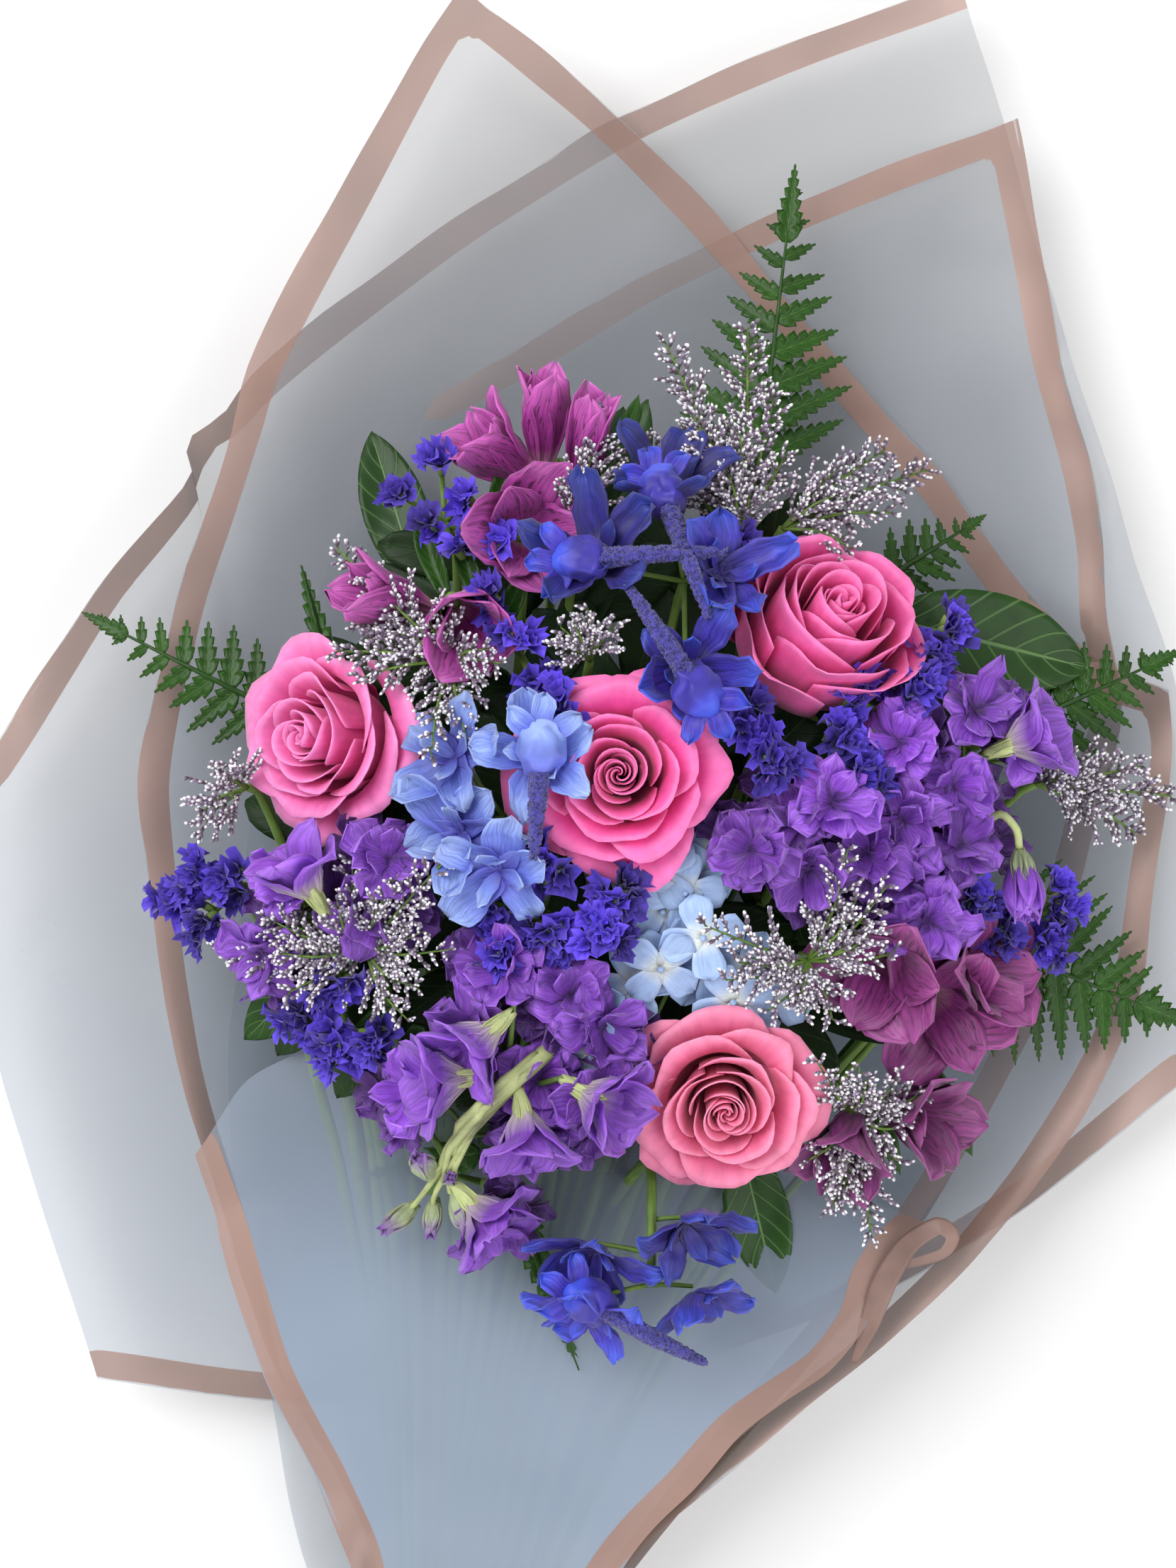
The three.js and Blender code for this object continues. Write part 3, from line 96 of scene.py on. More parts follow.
STATICES = {
    "upper_left": dict(hub=(-44, 81), spots=((-49, 106), (-62, 96), (-40, 96), (-53, 87), (-44, 78),
        (-30, 79))),
    "upper": dict(hub=(-23, 44), spots=((-32, 63), (-25, 50), (-18, 34), (-10, 25))),
    "far_left": dict(hub=(-112, -36), spots=((-136, -37), (-127, -45), (-120, -31), (-130, -31))),
    "lower_left": dict(hub=(-81, -74), spots=((-94, -78), (-83, -87), (-72, -84), (-86, -66))),
    "centre": dict(hub=(-13, -43), spots=((-33, -39), (-14, -27), (-13, -49), (-30, -56), (9, -39),
        (5, -51))),
    "right": dict(hub=(98, 20), spots=((87, 29), (86, 14), (107, 31), (120, 52), (114, 42), (90, 3))),
    "centre_right": dict(hub=(58, 17), spots=((51, 22), (62, 10), (47, 78))),
    "far_right": dict(hub=(136, -43), spots=((139, -48), (158, -39), (152, -51), (127, -40))),
}
SEA_LAVENDERS = {
    "top": dict(hub=(48, 78), twigs=((26, 146), (35, 122), (53, 151), (62, 130), (46, 104))),
    "top_right": dict(hub=(62, 81), twigs=((112, 104), (100, 90), (81, 103))),
    "upper_left": dict(hub=(-42, 39), twigs=((-83, 78), (-73, 68), (-49, 60), (-83, 44), (-29, 40),
        (-52, 10))),
    "upper": dict(hub=(-4, 81), twigs=((6, 122), (-3, 101))),
    "centre": dict(hub=(1, 39), twigs=((-9, 52), (10, 53), (0, 58))),
    "left": dict(hub=(-70, -53), twigs=((-122, -55), (-107, -44), (-99, -69), (-78, -26), (-47, -25),
        (-60, -78), (-46, -55))),
    "far_left": dict(hub=(-108, -1), twigs=((-128, -16), (-118, 8))),
    "right": dict(hub=(70, -56), twigs=((39, -47), (86, -22), (101, -56), (46, -65), (81, -78), (99, -34),
        (60, -75))),
    "far_right": dict(hub=(143, 0), twigs=((193, -4), (183, 6), (161, -1))),
    "lower_right": dict(hub=(82, -104), twigs=((110, -103), (103, -125), (94, -150), (81, -140),
        (76, -92), (90, -94))),
}
LARKSPURS = {
    "upper": dict(hub=(30, 62), spots=((27, 98), (4, 74), (33, 38), (44, 69)),
        spurs=(((27, 91), (40, 55)), ((4, 75), (46, 77)), ((33, 36), (13, 66)))),
    "centre_left": dict(hub=(-25, -10), spots=((-44, 9), (-16, 9), (-42, -16), (-29, -29)),
        spurs=(((-16, 5), (-18, -25)),)),
    "lower": dict(hub=(20, -125), bend=((21, -148, 3), (21, -166, -2)),
        spots=((3, -155), (32, -146), (35, -169), (1, -173)), spurs=(((5, -174), (39, -192)),)),
}
HYDRANGEA = dict(hub=(29, -56),
                 spots=((32, -36), (24, -61), (38, -51), (52, -62), (48, -72), (1, -90), (23, -29)))
ALSTROEMERIAS = {
    "top": dict(hub=(-9, 104), blooms=((-15, 116, 0.0, 0.9, 0.45, 1.23), (-1, 109, 0.2, 0.85, 0.5, 1.25),
        (-27, 108, -0.75, 0.5, 0.5, 1.15))),
    "upper": dict(hub=(-21, 78), blooms=((-21, 83, 0.15, 0, 1, 0.95),)),
    "upper_left": dict(hub=(-49, 58), blooms=((-62, 61, -0.85, 0.25, 0.5, 1.2),
        (-42, 55, 0.2, -0.4, 0.8, 1.1))),
    "right": dict(hub=(114, -62), blooms=((99, -61, -0.25, -0.3, 0.9, 0.8),
        (117, -73, 0.2, -0.2, 0.9, 0.75), (129, -62, 0.75, 0.1, 0.7, 0.85))),
    "lower_right": dict(hub=(99, -107), blooms=((87, -117, -0.2, -0.7, 0.7, 1.1),
        (108, -110, 0.7, -0.3, 0.7, 1.05))),
}
FERNS = {
    "top": dict(base=(56, 101, 40), tip=(68, 199, 46), reach=40, pairs=8),
    "left": dict(base=(-105, 25, 58), tip=(-164, 55, 52), reach=27, pairs=7),
    "right_upper": dict(base=(140, 18, 56), tip=(194, 43, 56), reach=32, pairs=7),
    "right_lower": dict(base=(124, -49, 58), tip=(195, -78, 56), reach=50, pairs=8),
    "lower": dict(base=(-27, -130, 76), tip=(-3, -194, 72), reach=16, pairs=6),
    "lower_left": dict(base=(-36, -122, 70), tip=(-75, -130, 70), reach=17, pairs=5),
    "top_right": dict(base=(99, 68, 60), tip=(130, 88, 58), reach=20, pairs=5),
    "upper_left": dict(base=(-86, 39, 64), tip=(-95, 72, 60), reach=12, pairs=4),
}
BROAD_LEAVES = {
    "upper_left": dict(base=(-58, 72, 50), tip=(-72, 116, 46), width=28),
    "right": dict(base=(108, 53, 72), tip=(166, 39, 66), width=42),
    "lower": dict(base=(52, -125, 74), tip=(62, -167, 70), width=27),
    "upper": dict(base=(6, 81, 62), tip=(19, 126, 66), width=20),
    "lower_left": dict(base=(-91, -62, 50), tip=(-113, -84, 48), width=24),
}

NECK_GATHERS = {            # the arc that each gathered sheet makes round the stems
    "inner": dict(across=22.3, deep=22.0, start=0.0, side=-1),
    "middle": dict(across=24.8, deep=24.6, start=0.4, side=-1),
    "front": dict(across=23.8, deep=23.6, start=0.06, side=1),
}
SKIRT_END = NECK.y - 52
ARC_SHARES = (0, 0.12, 0.26, 0.42, 0.58, 0.74, 0.88, 1)


def gather_point(gather, share, y):
    angle = gather["start"] + share * (math.pi - 2 * gather["start"])
    return (NECK.x - gather["across"] * math.cos(angle), y,
            NECK.z + gather["side"] * gather["deep"] * math.sin(angle))


def gather_arc(name):
    return [gather_point(NECK_GATHERS[name], share, SKIRT_END) for share in ARC_SHARES]


def gather_edge(name, share):
    return [gather_point(NECK_GATHERS[name], share, y) for y in (SKIRT_END, NECK.y - 26, NECK.y + 4)]


# each sheet is a patch between four edges; `printed` names the edges with a border strip
SHEETS = dict(
    inner=dict(
        printed=("left", "right", "far"),
        left=[*gather_edge("inner", 0), (-77, -273, 54), (-88, -243, 58), (-109, -203, 60),
            (-124, -155, 56), (-141, -109, 48), (-151, -63, 44), (-155, -25, 42), (-157, 0, 42),
            (-153, 28, 42), (-144, 66, 42), (-134, 96, 42), (-124, 127, 42), (-116, 151, 42),
            (-88, 203, 44), (-60, 255, 46), (-45, 278, 48)],
        right=[*gather_edge("inner", 1), (13, -273, 58), (40, -244, 61), (70, -220, 62),
            (100, -196, 60), (133, -166, 55), (158, -136, 50), (181, -101, 46), (194, -69, 44),
            (200, -27, 44), (205, 11, 46), (204, 33, 40)],
        near=gather_arc("inner"),
        far=[(-45, 278, 48), (11, 236, 32), (59, 188, 22), (98, 143, 18), (127, 110, 18),
            (154, 72, 20), (182, 43, 26), (204, 33, 40)],
        floor=5.8, gathered=True, veil=0.0,
    ),
    middle=dict(
        printed=("right", "far"),
        left=[*gather_edge("middle", 0), (-100, -281, 34), (-113, -218, 26), (-121, -183, 16),
            (-130, -113, 12), (-119, 0, 10), (-91, 85, 10), (-54, 141, 12)],
        right=[*gather_edge("middle", 1), (28, -267, 20), (113, -170, 12), (155, -99, 14),
            (174, -42, 18), (184, 0, 24), (189, 28, 30), (184, 58, 34), (183, 83, 34), (178, 111, 34),
            (167, 152, 34), (159, 194, 34), (151, 236, 32)],
        near=gather_arc("middle"),
        far=[(-54, 141, 12), (-17, 161, 16), (22, 184, 20), (70, 206, 24), (111, 222, 28),
            (151, 236, 32)],
        floor=2.9, gathered=True, veil=0.0,
    ),
    wide=dict(
        printed=("near", "far"),
        left=[(-174, -211, 30), (-191, -155, 36), (-207, -102, 38), (-214, -41, 40), (-213, 7, 40)],
        right=[(211, -105, 34), (213, -28, 42), (207, 33, 42), (185, 105, 38), (161, 183, 34),
            (132, 285, 30)],
        near=[(-174, -211, 30), (-114, -221, 20), (-25, -226, 14), (23, -215, 14), (71, -198, 14),
            (113, -179, 18), (156, -151, 26), (211, -105, 34)],
        far=[(-213, 7, 40), (-190, 41, 40), (-171, 70, 40), (-141, 109, 38), (-143, 122, 36),
            (-128, 133, 32), (-114, 149, 28), (-53, 198, 22), (11, 238, 22), (70, 264, 24),
            (120, 281, 28), (132, 285, 30)],
        floor=0.0, gathered=False, veil=0.0,
    ),
    front=dict(
        printed=("left", "right"),
        left=[*gather_edge("front", 0), (-79, -273, 66), (-90, -243, 67), (-111, -203, 66),
            (-126, -155, 62), (-136, -128, 58)],
        right=[*gather_edge("front", 1), (11, -269, 66), (35, -242, 68), (51, -224, 69),
            (67, -212, 70), (83, -200, 72), (95, -184, 72), (100, -168, 72), (110, -156, 72),
            (122, -153, 70)],
        near=gather_arc("front"),
        far=[(-136, -128, 58), (-116, -100, 60), (-80, -88, 70), (-40, -104, 67), (25, -122, 65),
            (80, -136, 66), (122, -153, 70)],
        floor=None, gathered=True, veil=1.0,
    ),
)


# ---- places ----
def lerp(a, b, share):
    return a + (b - a) * share


def smoothstep(x, low_end, high_end):
    x = min(max((x - low_end) / (high_end - low_end), 0.0), 1.0)
    return x * x * (3 - 2 * x)


def at(x, y, z):
    """The place that is seen at plan position x, y and lies at height z."""
    scale = (VIEW_HEIGHT - z) / (VIEW_HEIGHT - PLAN_LEVEL)
    return Vector((x * scale, y * scale, z))


def on_dome(x, y, lift=0.0):
    dx = x - DOME_CENTRE[0]
    dy = (y - DOME_CENTRE[1]) * (FRONT_SQUASH if y < DOME_CENTRE[1] else 1)
    return at(x, y, DOME_TOP - DOME_DROP * (dx * dx + dy * dy) / DOME_REACH ** 2 + lift)


def outward(point, lean=0.0052):
    return Vector(((point.x - DOME_CENTRE[0]) * lean, (point.y - DOME_CENTRE[1]) * lean, 1)).normalized()


def facing(origin, aim, roll=0.0, size=1.0):
    turn = UP.rotation_difference(aim.normalized()) @ Quaternion(UP, roll)
    return Matrix.Translation(origin) @ turn.to_matrix().to_4x4() @ Matrix.Scale(size, 4)


def leaf_place(origin, out):
    """A leaf along its own +X is laid along `out`, with its upper face up."""
    out = out.normalized()
    side = UP.cross(out).normalized()
    return Matrix.Translation(origin) @ Matrix((out, side, out.cross(side))).transposed().to_4x4()


def edge_at(line, share):
    spot = share * (len(line) - 1)
    k = min(int(spot), len(line) - 2)
    return line[k].lerp(line[k + 1], spot - k)


def between(values, share):
    """The value at a share of a row of numbers."""
    spot = share * (len(values) - 1)
    i = min(int(spot), len(values) - 2)
    return lerp(values[i], values[i + 1], spot - i)


def nearest_on(line, point):
    best = line[0]
    for a, b in zip(line, line[1:]):
        step = b - a
        share = min(max((point - a).dot(step) / max(step.length_squared, 1e-9), 0), 1)
        spot = a + step * share
        if (spot - point).length < (best - point).length:
            best = spot
    return best


# ---- shapes ----
def new_heap():
    heap = bmesh.new()
    heap.loops.layers.uv.new("uv")
    heap.verts.layers.float.new("shade")
    return heap


def grid(across, along, place, thick=0.0):
    """A grid bent by place(u, v), u -1..1 and v 0..1, with its own map; `thick` closes it as a blade."""
    bm = new_heap()
    bmesh.ops.create_grid(bm, x_segments=across, y_segments=along, size=1.0, calc_uvs=True)
    for vert in bm.verts:
        vert.co = place(vert.co.x, (vert.co.y + 1) / 2)
    bmesh.ops.remove_doubles(bm, verts=bm.verts[:], dist=0.01)
    if thick:
        bm.normal_update()
        lifts = {vert.index: vert.normal * thick for vert in bm.verts}
        corner = bm.verts.layers.int.new("corner")
        for vert in bm.verts:
            vert[corner] = vert.index
        made = bmesh.ops.extrude_face_region(bm, geom=bm.faces[:], use_keep_orig=True)
        for vert in (item for item in made["geom"] if isinstance(item, bmesh.types.BMVert)):
            vert.co += lifts[vert[corner]]
        bm.verts.layers.int.remove(corner)
        bmesh.ops.recalc_face_normals(bm, faces=bm.faces[:])
    return bm


def as_mesh(*parts):
    """Parts become one mesh, to be stamped where it grows."""
    whole = new_heap()
    for part in parts:
        mesh = bpy.data.meshes.new("part")
        part.to_mesh(mesh)
        part.free()
        whole.from_mesh(mesh)
        bpy.data.meshes.remove(mesh)
    mesh = bpy.data.meshes.new("shape")
    whole.to_mesh(mesh)
    whole.free()
    return mesh


def stamp(heap, mesh, matrix, shade):
    """A copy of a shape goes where it grows; `shade` is its tint from dark to light, a tint of its own for
    most copies and painted light and shade for some.
    """
    copy = mesh.copy()
    copy.transform(matrix)
    copy.attributes["shade"].data.foreach_set("value", [shade] * len(copy.vertices))
    heap.from_mesh(copy)
    bpy.data.meshes.remove(copy)


def lay(heap, part, matrix=HERE, shade=0.5):
    """A shape that is used once is stamped in place and dropped."""
    mesh = as_mesh(part)
    stamp(heap, mesh, matrix, shade)
    bpy.data.meshes.remove(mesh)


def carried(line):
    """A tangent and a normal at each point of a line, turned as little as can be between them."""
    steps = [(b - a).normalized() for a, b in zip(line, line[1:])]
    normal = Vector((0.31, 0.17, 0.94)).cross(steps[0]).normalized()
    frames = []
    for i in range(len(line)):
        tangent = (steps[max(i - 1, 0)] + steps[min(i, len(steps) - 1)]).normalized()
        normal = (normal - tangent * normal.dot(tangent)).normalized()
        frames.append((tangent, normal))
    return frames


def tube(line, radii, sides=8):
    """A closed round stalk along a line; `radii` are spread evenly over its length."""
    last = len(line) - 1
    frames = carried(line)

    def place(u, v):
        k = round(v * last)
        tangent, normal = frames[k]
        radius = max(between(radii, v), 0.02)
        side = tangent.cross(normal)
        return line[k] + (normal * math.cos(math.pi * u) + side * math.sin(math.pi * u)) * radius
    bm = grid(sides, last, place)
    bmesh.ops.holes_fill(bm, edges=bm.edges[:], sides=0)
    bmesh.ops.recalc_face_normals(bm, faces=bm.faces[:])
    return bm


def smooth_line(points, count):
    """Points spaced evenly by length on a curve through `points`."""
    tension = 0.4
    ends = [points[0] * 2 - points[1], *points, points[-1] * 2 - points[-2]]
    fine = [points[0].copy()]
    for k in range(1, len(ends) - 2):
        before, a, b, after = ends[k - 1:k + 3]
        leave, arrive = (b - before) * tension, (after - a) * tension
        for step in range(1, 13):
            t = step / 12
            fine.append(a * (2 * t ** 3 - 3 * t * t + 1) + leave * (t ** 3 - 2 * t * t + t)
                        + b * (3 * t * t - 2 * t ** 3) + arrive * (t ** 3 - t * t))
    lengths = [0.0]
    for a, b in zip(fine, fine[1:]):
        lengths.append(lengths[-1] + (b - a).length)
    line, k = [], 0
    for i in range(count + 1):
        goal = lengths[-1] * i / count
        while k < len(fine) - 2 and lengths[k + 1] < goal:
            k += 1
        span = max(lengths[k + 1] - lengths[k], 1e-9)
        line.append(fine[k].lerp(fine[k + 1], min((goal - lengths[k]) / span, 1)))
    return line


def turned(bm, turn):
    bmesh.ops.rotate(bm, verts=bm.verts[:], matrix=Matrix.Rotation(turn, 3, "Z"))
    return bm


def petal(turn, length, width, lift=0.2, cup=0.3, ruffle=0.0, waves=5.0, blunt=5.0, foot=0.16,
          across=4, along=5, phase=0.0, curl=0.0):
    """One petal from a floret's middle outwards: `blunt` rounds its tip, `ruffle` waves its rim."""
    def place(u, v):
        half = width / 2 * (foot + (1 - foot) * v ** 0.8) * math.sqrt(max(1 - v ** blunt, 0.006))
        rise = lift * length * v * v + cup * half * u * u - curl * length * v ** 5
        wave = ruffle * math.sin(u * waves + phase + v * 3) * v * v
        return Vector((length * v * (1 - abs(wave) * 0.02), half * u, rise + wave))
    return turned(grid(across, along, place, 0.35), turn)


def tepal(turn, length, width, open_, chance):
    """One of six: it leaves the tube upright and leans out to the angle `open_` at its tip."""
    steps, wave, phase = 9, chance.uniform(0.5, 1.3), chance.uniform(0, 6)
    start, along = min(0.3, open_ * 0.6), [(1.2, 0.0)]
    for k in range(steps):
        lean = lerp(start, open_, ((k + 0.5) / steps) ** 1.1)
        x, z = along[-1]
        along.append((x + math.sin(lean) * length / steps, z + math.cos(lean) * length / steps))

    def place(u, v):
        x, z = along[round(v * steps)]
        lean = lerp(start, open_, v ** 1.1)
        flank = 0.2 + 0.95 * math.sin(min(v * 1.5, 1) * math.pi / 2)
        half = width / 2 * flank * math.sqrt(max(1 - v ** 4.5, 0.012))
        hollow = 0.32 * half * u * u
        frill = wave * math.sin(u * 3 + phase + v * 4) * v * v
        return Vector((x - hollow * math.cos(lean) + frill * 0.4, half * u,
                       z + hollow * math.sin(lean) + frill))
    return turned(grid(8, steps, place, 0.4), turn)


def crumpled(mesh, depth, reach, seed):
    """Creases run over the petals, deepest at their rims."""
    for vert in mesh.vertices:
        away = min(math.hypot(vert.co.x, vert.co.y) / reach, 1)
        vert.co += noise.noise_vector(vert.co * 0.22 + Vector((seed, 0, 0))) * depth * away
    return mesh


def bead(radius, stretch, sides=1):
    """A small bud along +Z whose map runs from its foot to its tip."""
    bm = new_heap()
    layer = bm.loops.layers.uv["uv"]
    bmesh.ops.create_icosphere(bm, subdivisions=sides, radius=radius)
    bmesh.ops.scale(bm, verts=bm.verts[:], vec=(1, 1, stretch))
    bmesh.ops.translate(bm, verts=bm.verts[:], vec=(0, 0, radius * stretch))
    for face in bm.faces:
        for loop in face.loops:
            loop[layer].uv = (0.5, loop.vert.co.z / (2 * radius * stretch))
    return bm


def blade(length, width, fold=0.25, arch=0.12, blunt=1.7, across=4, along=10, thick=0.4,
          wave=0.0, low=0.1, point=0.5, ribs=0):
    """A leaf along +X with a folded midrib; `point` sharpens its tip, `ribs` pucker it at its veins."""
    def place(u, v):
        half = width / 2 * (low + v ** 0.62) * max(1 - v ** blunt, 0.004) ** point * 1.25
        drop = arch * length * v * v
        pucker = -0.35 * abs(math.sin((v - abs(u) * 0.25) * math.pi * ribs)) if ribs else 0
        waved = wave * math.sin(v * 9 + u * 2) * abs(u)
        return Vector((length * v, half * u, fold * half * abs(u) - drop + waved - pucker))
    return grid(across, along, place, thick)


# ---- finishing a piece ----
LOOKS = {}                  # the finishes by name, once they are mixed


def finished(heap, name, look, slot, *nodes):
    """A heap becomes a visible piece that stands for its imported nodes."""
    mesh = bpy.data.meshes.new(name)
    heap.to_mesh(mesh)
    heap.free()
    mesh.transform(TO_ROW)
    mesh.shade_smooth()
    mesh.materials.append(LOOKS[look])
    piece = bpy.data.objects.new(name, mesh)
    bpy.context.scene.collection.objects.link(piece)
    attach(piece, "root")
    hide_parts(*nodes)


STEM_LEVELS = 26
STEM_SEARCH = 9.0           # a stem's next section is looked for this near the last one


def stem_line(node, stop):
    """The middle of a packed stem, level by level from its cut end up to the plan's y of `stop`."""
    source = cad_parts[node]
    place = TO_PLAN @ source.matrix_world
    spots = [place @ vert.co for vert in source.data.vertices]
    edges = [(spots[a], spots[b]) for a, b in (edge.vertices for edge in source.data.edges)]
    first = min(spot.y for spot in spots)
    line = []
    for k in range(STEM_LEVELS):
        y = lerp(first + 0.4, stop, k / (STEM_LEVELS - 1))
        cuts = [a.lerp(b, (y - a.y) / (b.y - a.y)) for a, b in edges if (a.y - y) * (b.y - y) < 0]
        if line:
            ahead = line[-1] * 2 - line[-2] if len(line) > 1 else line[-1]
            cuts = [cut for cut in cuts if math.hypot(cut.x - ahead.x, cut.z - ahead.z) < STEM_SEARCH]
        if not cuts:
            continue
        middle = [(min(cut[i] for cut in cuts) + max(cut[i] for cut in cuts)) / 2 for i in range(3)]
        line.append(Vector(middle))
    return line


def stem_tube(node, rachis, radius):
    line = stem_line(node, rachis[0].y - 1.0)
    return tube(smooth_line([*line, *rachis], 34), [radius, radius, radius, radius * 0.72])


def sprout(node, plan, lift, rise, radius=2.1, shade=0.5):
    """The line that a plant's florets hang from, and its green heap with the stem up to it."""
    root = on_dome(*plan["hub"], lift)
    bend = [on_dome(*p) for p in plan["bend"]] if "bend" in plan else [root + outward(root) * rise]
    line, green = [root, *bend], new_heap()
    lay(green, stem_tube(node, line, radius), HERE, shade)
    return line, green


def hang(heap, rachis, point, radius):
    """A short stalk from the nearest point of a line."""
    root = nearest_on(rachis, point)
    if (root - point).length > 1:
        middle = root.lerp(point, 0.55) - UP * 1.5
        stalk = tube([root, middle, root.lerp(point, 1.08)], [radius * 1.2, radius], 5)
        lay(heap, stalk, HERE)


# ---- film ----
FILM_ACROSS = 72
FILM_ALONG = 96
EDGE_STEPS = 160
GATHER_OPENS = (0.13, 0.36)
END_CURL = 7                # how late a sheet turns up to its far and near edges
SIDE_CURL = (9, 4)          # and to its sides, at its foot and at its head
TUCK = 1.4
LIFTS = {"wide": 0.3, "middle": 0.9, "inner": 1.5, "front": 2.1}    # no two sheets lie in one plane
RIPPLE = 2.4
RIPPLE_SPAN = 46
RIPPLE_STARTS = (0.1, 0.5)
VEIL_FADES = (0.66, 0.98)
FARTHEST_RIM = 60.0


def film_surface(plan):
    """The sheet's surface between its four edges: flat on its floor, turned up at its sides."""
    lines = {side: smooth_line([Vector(p) for p in plan[side]], EDGE_STEPS)
             for side in ("left", "right", "near", "far")}
    gathered, floor = plan["gathered"], plan["floor"]

    def bulge(side, u):
        line = lines[side]
        return edge_at(line, u) - line[0].lerp(line[-1], u)

    def surface(u, v):
        left, right = edge_at(lines["left"], v), edge_at(lines["right"], v)
        open_ = smoothstep(v, *GATHER_OPENS) if gathered else v
        spot = left.lerp(right, u) + bulge("near", u) * (1 - open_)
        spot += bulge("far", u) * (open_ * v if gathered else v)
        if floor is None:
            return spot
        sides = lerp(left.z, right.z, u)
        rise = math.sin(abs(2 * u - 1) ** lerp(*SIDE_CURL, math.sqrt(v)) * math.pi / 2)
        trough = floor + max((sides - floor) * (rise - 0.015), 0)
        trough = lerp(trough, edge_at(lines["far"], u).z, v ** END_CURL)
        if not gathered:
            trough = lerp(trough, edge_at(lines["near"], u).z, (1 - v) ** END_CURL)
        start = edge_at(lines["near"], u).z if gathered else spot.z
        spot.z = lerp(start, max(trough, floor), open_ if gathered else 1)
        return spot
    return surface


def film_grid(plan):
    """A sheet, its rim layer and a search tree of its printed edges."""
    surface = film_surface(plan)
    bm = bmesh.new()
    bm.loops.layers.uv.new("uv")
    rim = bm.verts.layers.float.new("rim")
    veil = bm.verts.layers.float.new("veil")
    bmesh.ops.create_grid(bm, x_segments=FILM_ACROSS, y_segments=FILM_ALONG, size=1.0, calc_uvs=True)
    marks = [spot for side in plan["printed"]
             for spot in smooth_line([Vector(p) for p in plan[side]], EDGE_STEPS * 4)]
    tree = kdtree.KDTree(len(marks))
    for i, mark in enumerate(marks):
        tree.insert(mark, i)
    tree.balance()
    for vert in bm.verts:
        x, v = (vert.co.x + 1) / 2, (vert.co.y + 1) / 2
        spot = surface(lerp(x, 0.5 - 0.5 * math.cos(math.pi * x), 0.5), v)
        ripple = noise.noise_vector(spot / RIPPLE_SPAN) * RIPPLE * smoothstep(v, *RIPPLE_STARTS)
        ripple.z = abs(ripple.z)
        vert.co = spot + ripple
        vert[veil] = plan["veil"] * (1 - smoothstep(v, *VEIL_FADES))
    return bm, rim, tree


def tuck_under(bm, cover):
    """Where a sheet passes over another it is lowered until it lies under it."""
    tree = BVHTree.FromBMesh(cover)
    for vert in bm.verts:
        if vert.co.y < NECK.y:
            continue
        hit = tree.ray_cast(Vector((vert.co.x, vert.co.y, -50)), UP)[0]
        if hit and vert.co.z > hit.z - TUCK:
            vert.co.z = max(hit.z - TUCK, 0.0)


def build_film():
    grids = {name: film_grid(plan) for name, plan in SHEETS.items()}
    for under, cover in (("inner", "front"), ("middle", "inner"), ("wide", "middle"), ("wide", "inner")):
        tuck_under(grids[under][0], grids[cover][0])
    for name, (bm, rim, tree) in grids.items():
        for vert in bm.verts:
            vert[rim] = min(tree.find(vert.co)[2], FARTHEST_RIM)
            vert.co.z += LIFTS[name]
        finished(bm, f"film_{name}_sheet", "film", "film", f"film_{name}")


CURL_PATH = ((88, -192, 72), (93, -180, 74), (98, -166, 76), (106, -153, 79), (116, -146.5, 82),
             (121, -150, 82), (118, -155.5, 80), (109, -158.5, 78), (101, -160, 76))
CURL_WIDTHS = (2.0, 6.5, 8.5, 8.0, 6.5, 5.5, 4.5, 3.5)
CURL_STEPS = 48


def build_curl():
    """The flap's border turns over on itself at its upper right corner."""
    line = smooth_line([at(*p) for p in CURL_PATH], CURL_STEPS)

    def place(u, v):
        k = round(v * CURL_STEPS)
        ahead = (line[min(k + 1, CURL_STEPS)] - line[max(k - 1, 0)]).normalized()
        roll = lerp(0.1, 0.55, smoothstep(v, 0.4, 0.9))
        side = ahead.cross(UP).normalized() * math.cos(roll) + UP * math.sin(roll)
        return line[k] + side * u * between(CURL_WIDTHS, v) / 2
    heap = new_heap()
    lay(heap, grid(6, CURL_STEPS, place, 0.1))
    finished(heap, "film_front_curl", "border", "film", "film_front")


# ---- roses ----
ROSE_WHORLS = (             # shares of the bloom's radius and height, first and last petal
    dict(count=11, reach=(0.015, 0.2), turn=(2.4, 1.5), curl=(0.015, 0.05), flare=0.0, top=(0.93, 0.99)),
    dict(count=7, reach=(0.25, 0.42), turn=(1.35, 1.15), curl=(0.06, 0.12), flare=0.03, top=(0.98, 0.95)),
    dict(count=5, reach=(0.46, 0.52), turn=(1.08, 1.0), curl=(0.17, 0.22), flare=0.08, top=(0.92, 0.87)),
    dict(count=5, reach=(0.56, 0.60), turn=(0.98, 0.92), curl=(0.22, 0.29), flare=0.12, top=(0.81, 0.73)),
)
ROSE_PETALS = sum(whorl["count"] for whorl in ROSE_WHORLS)


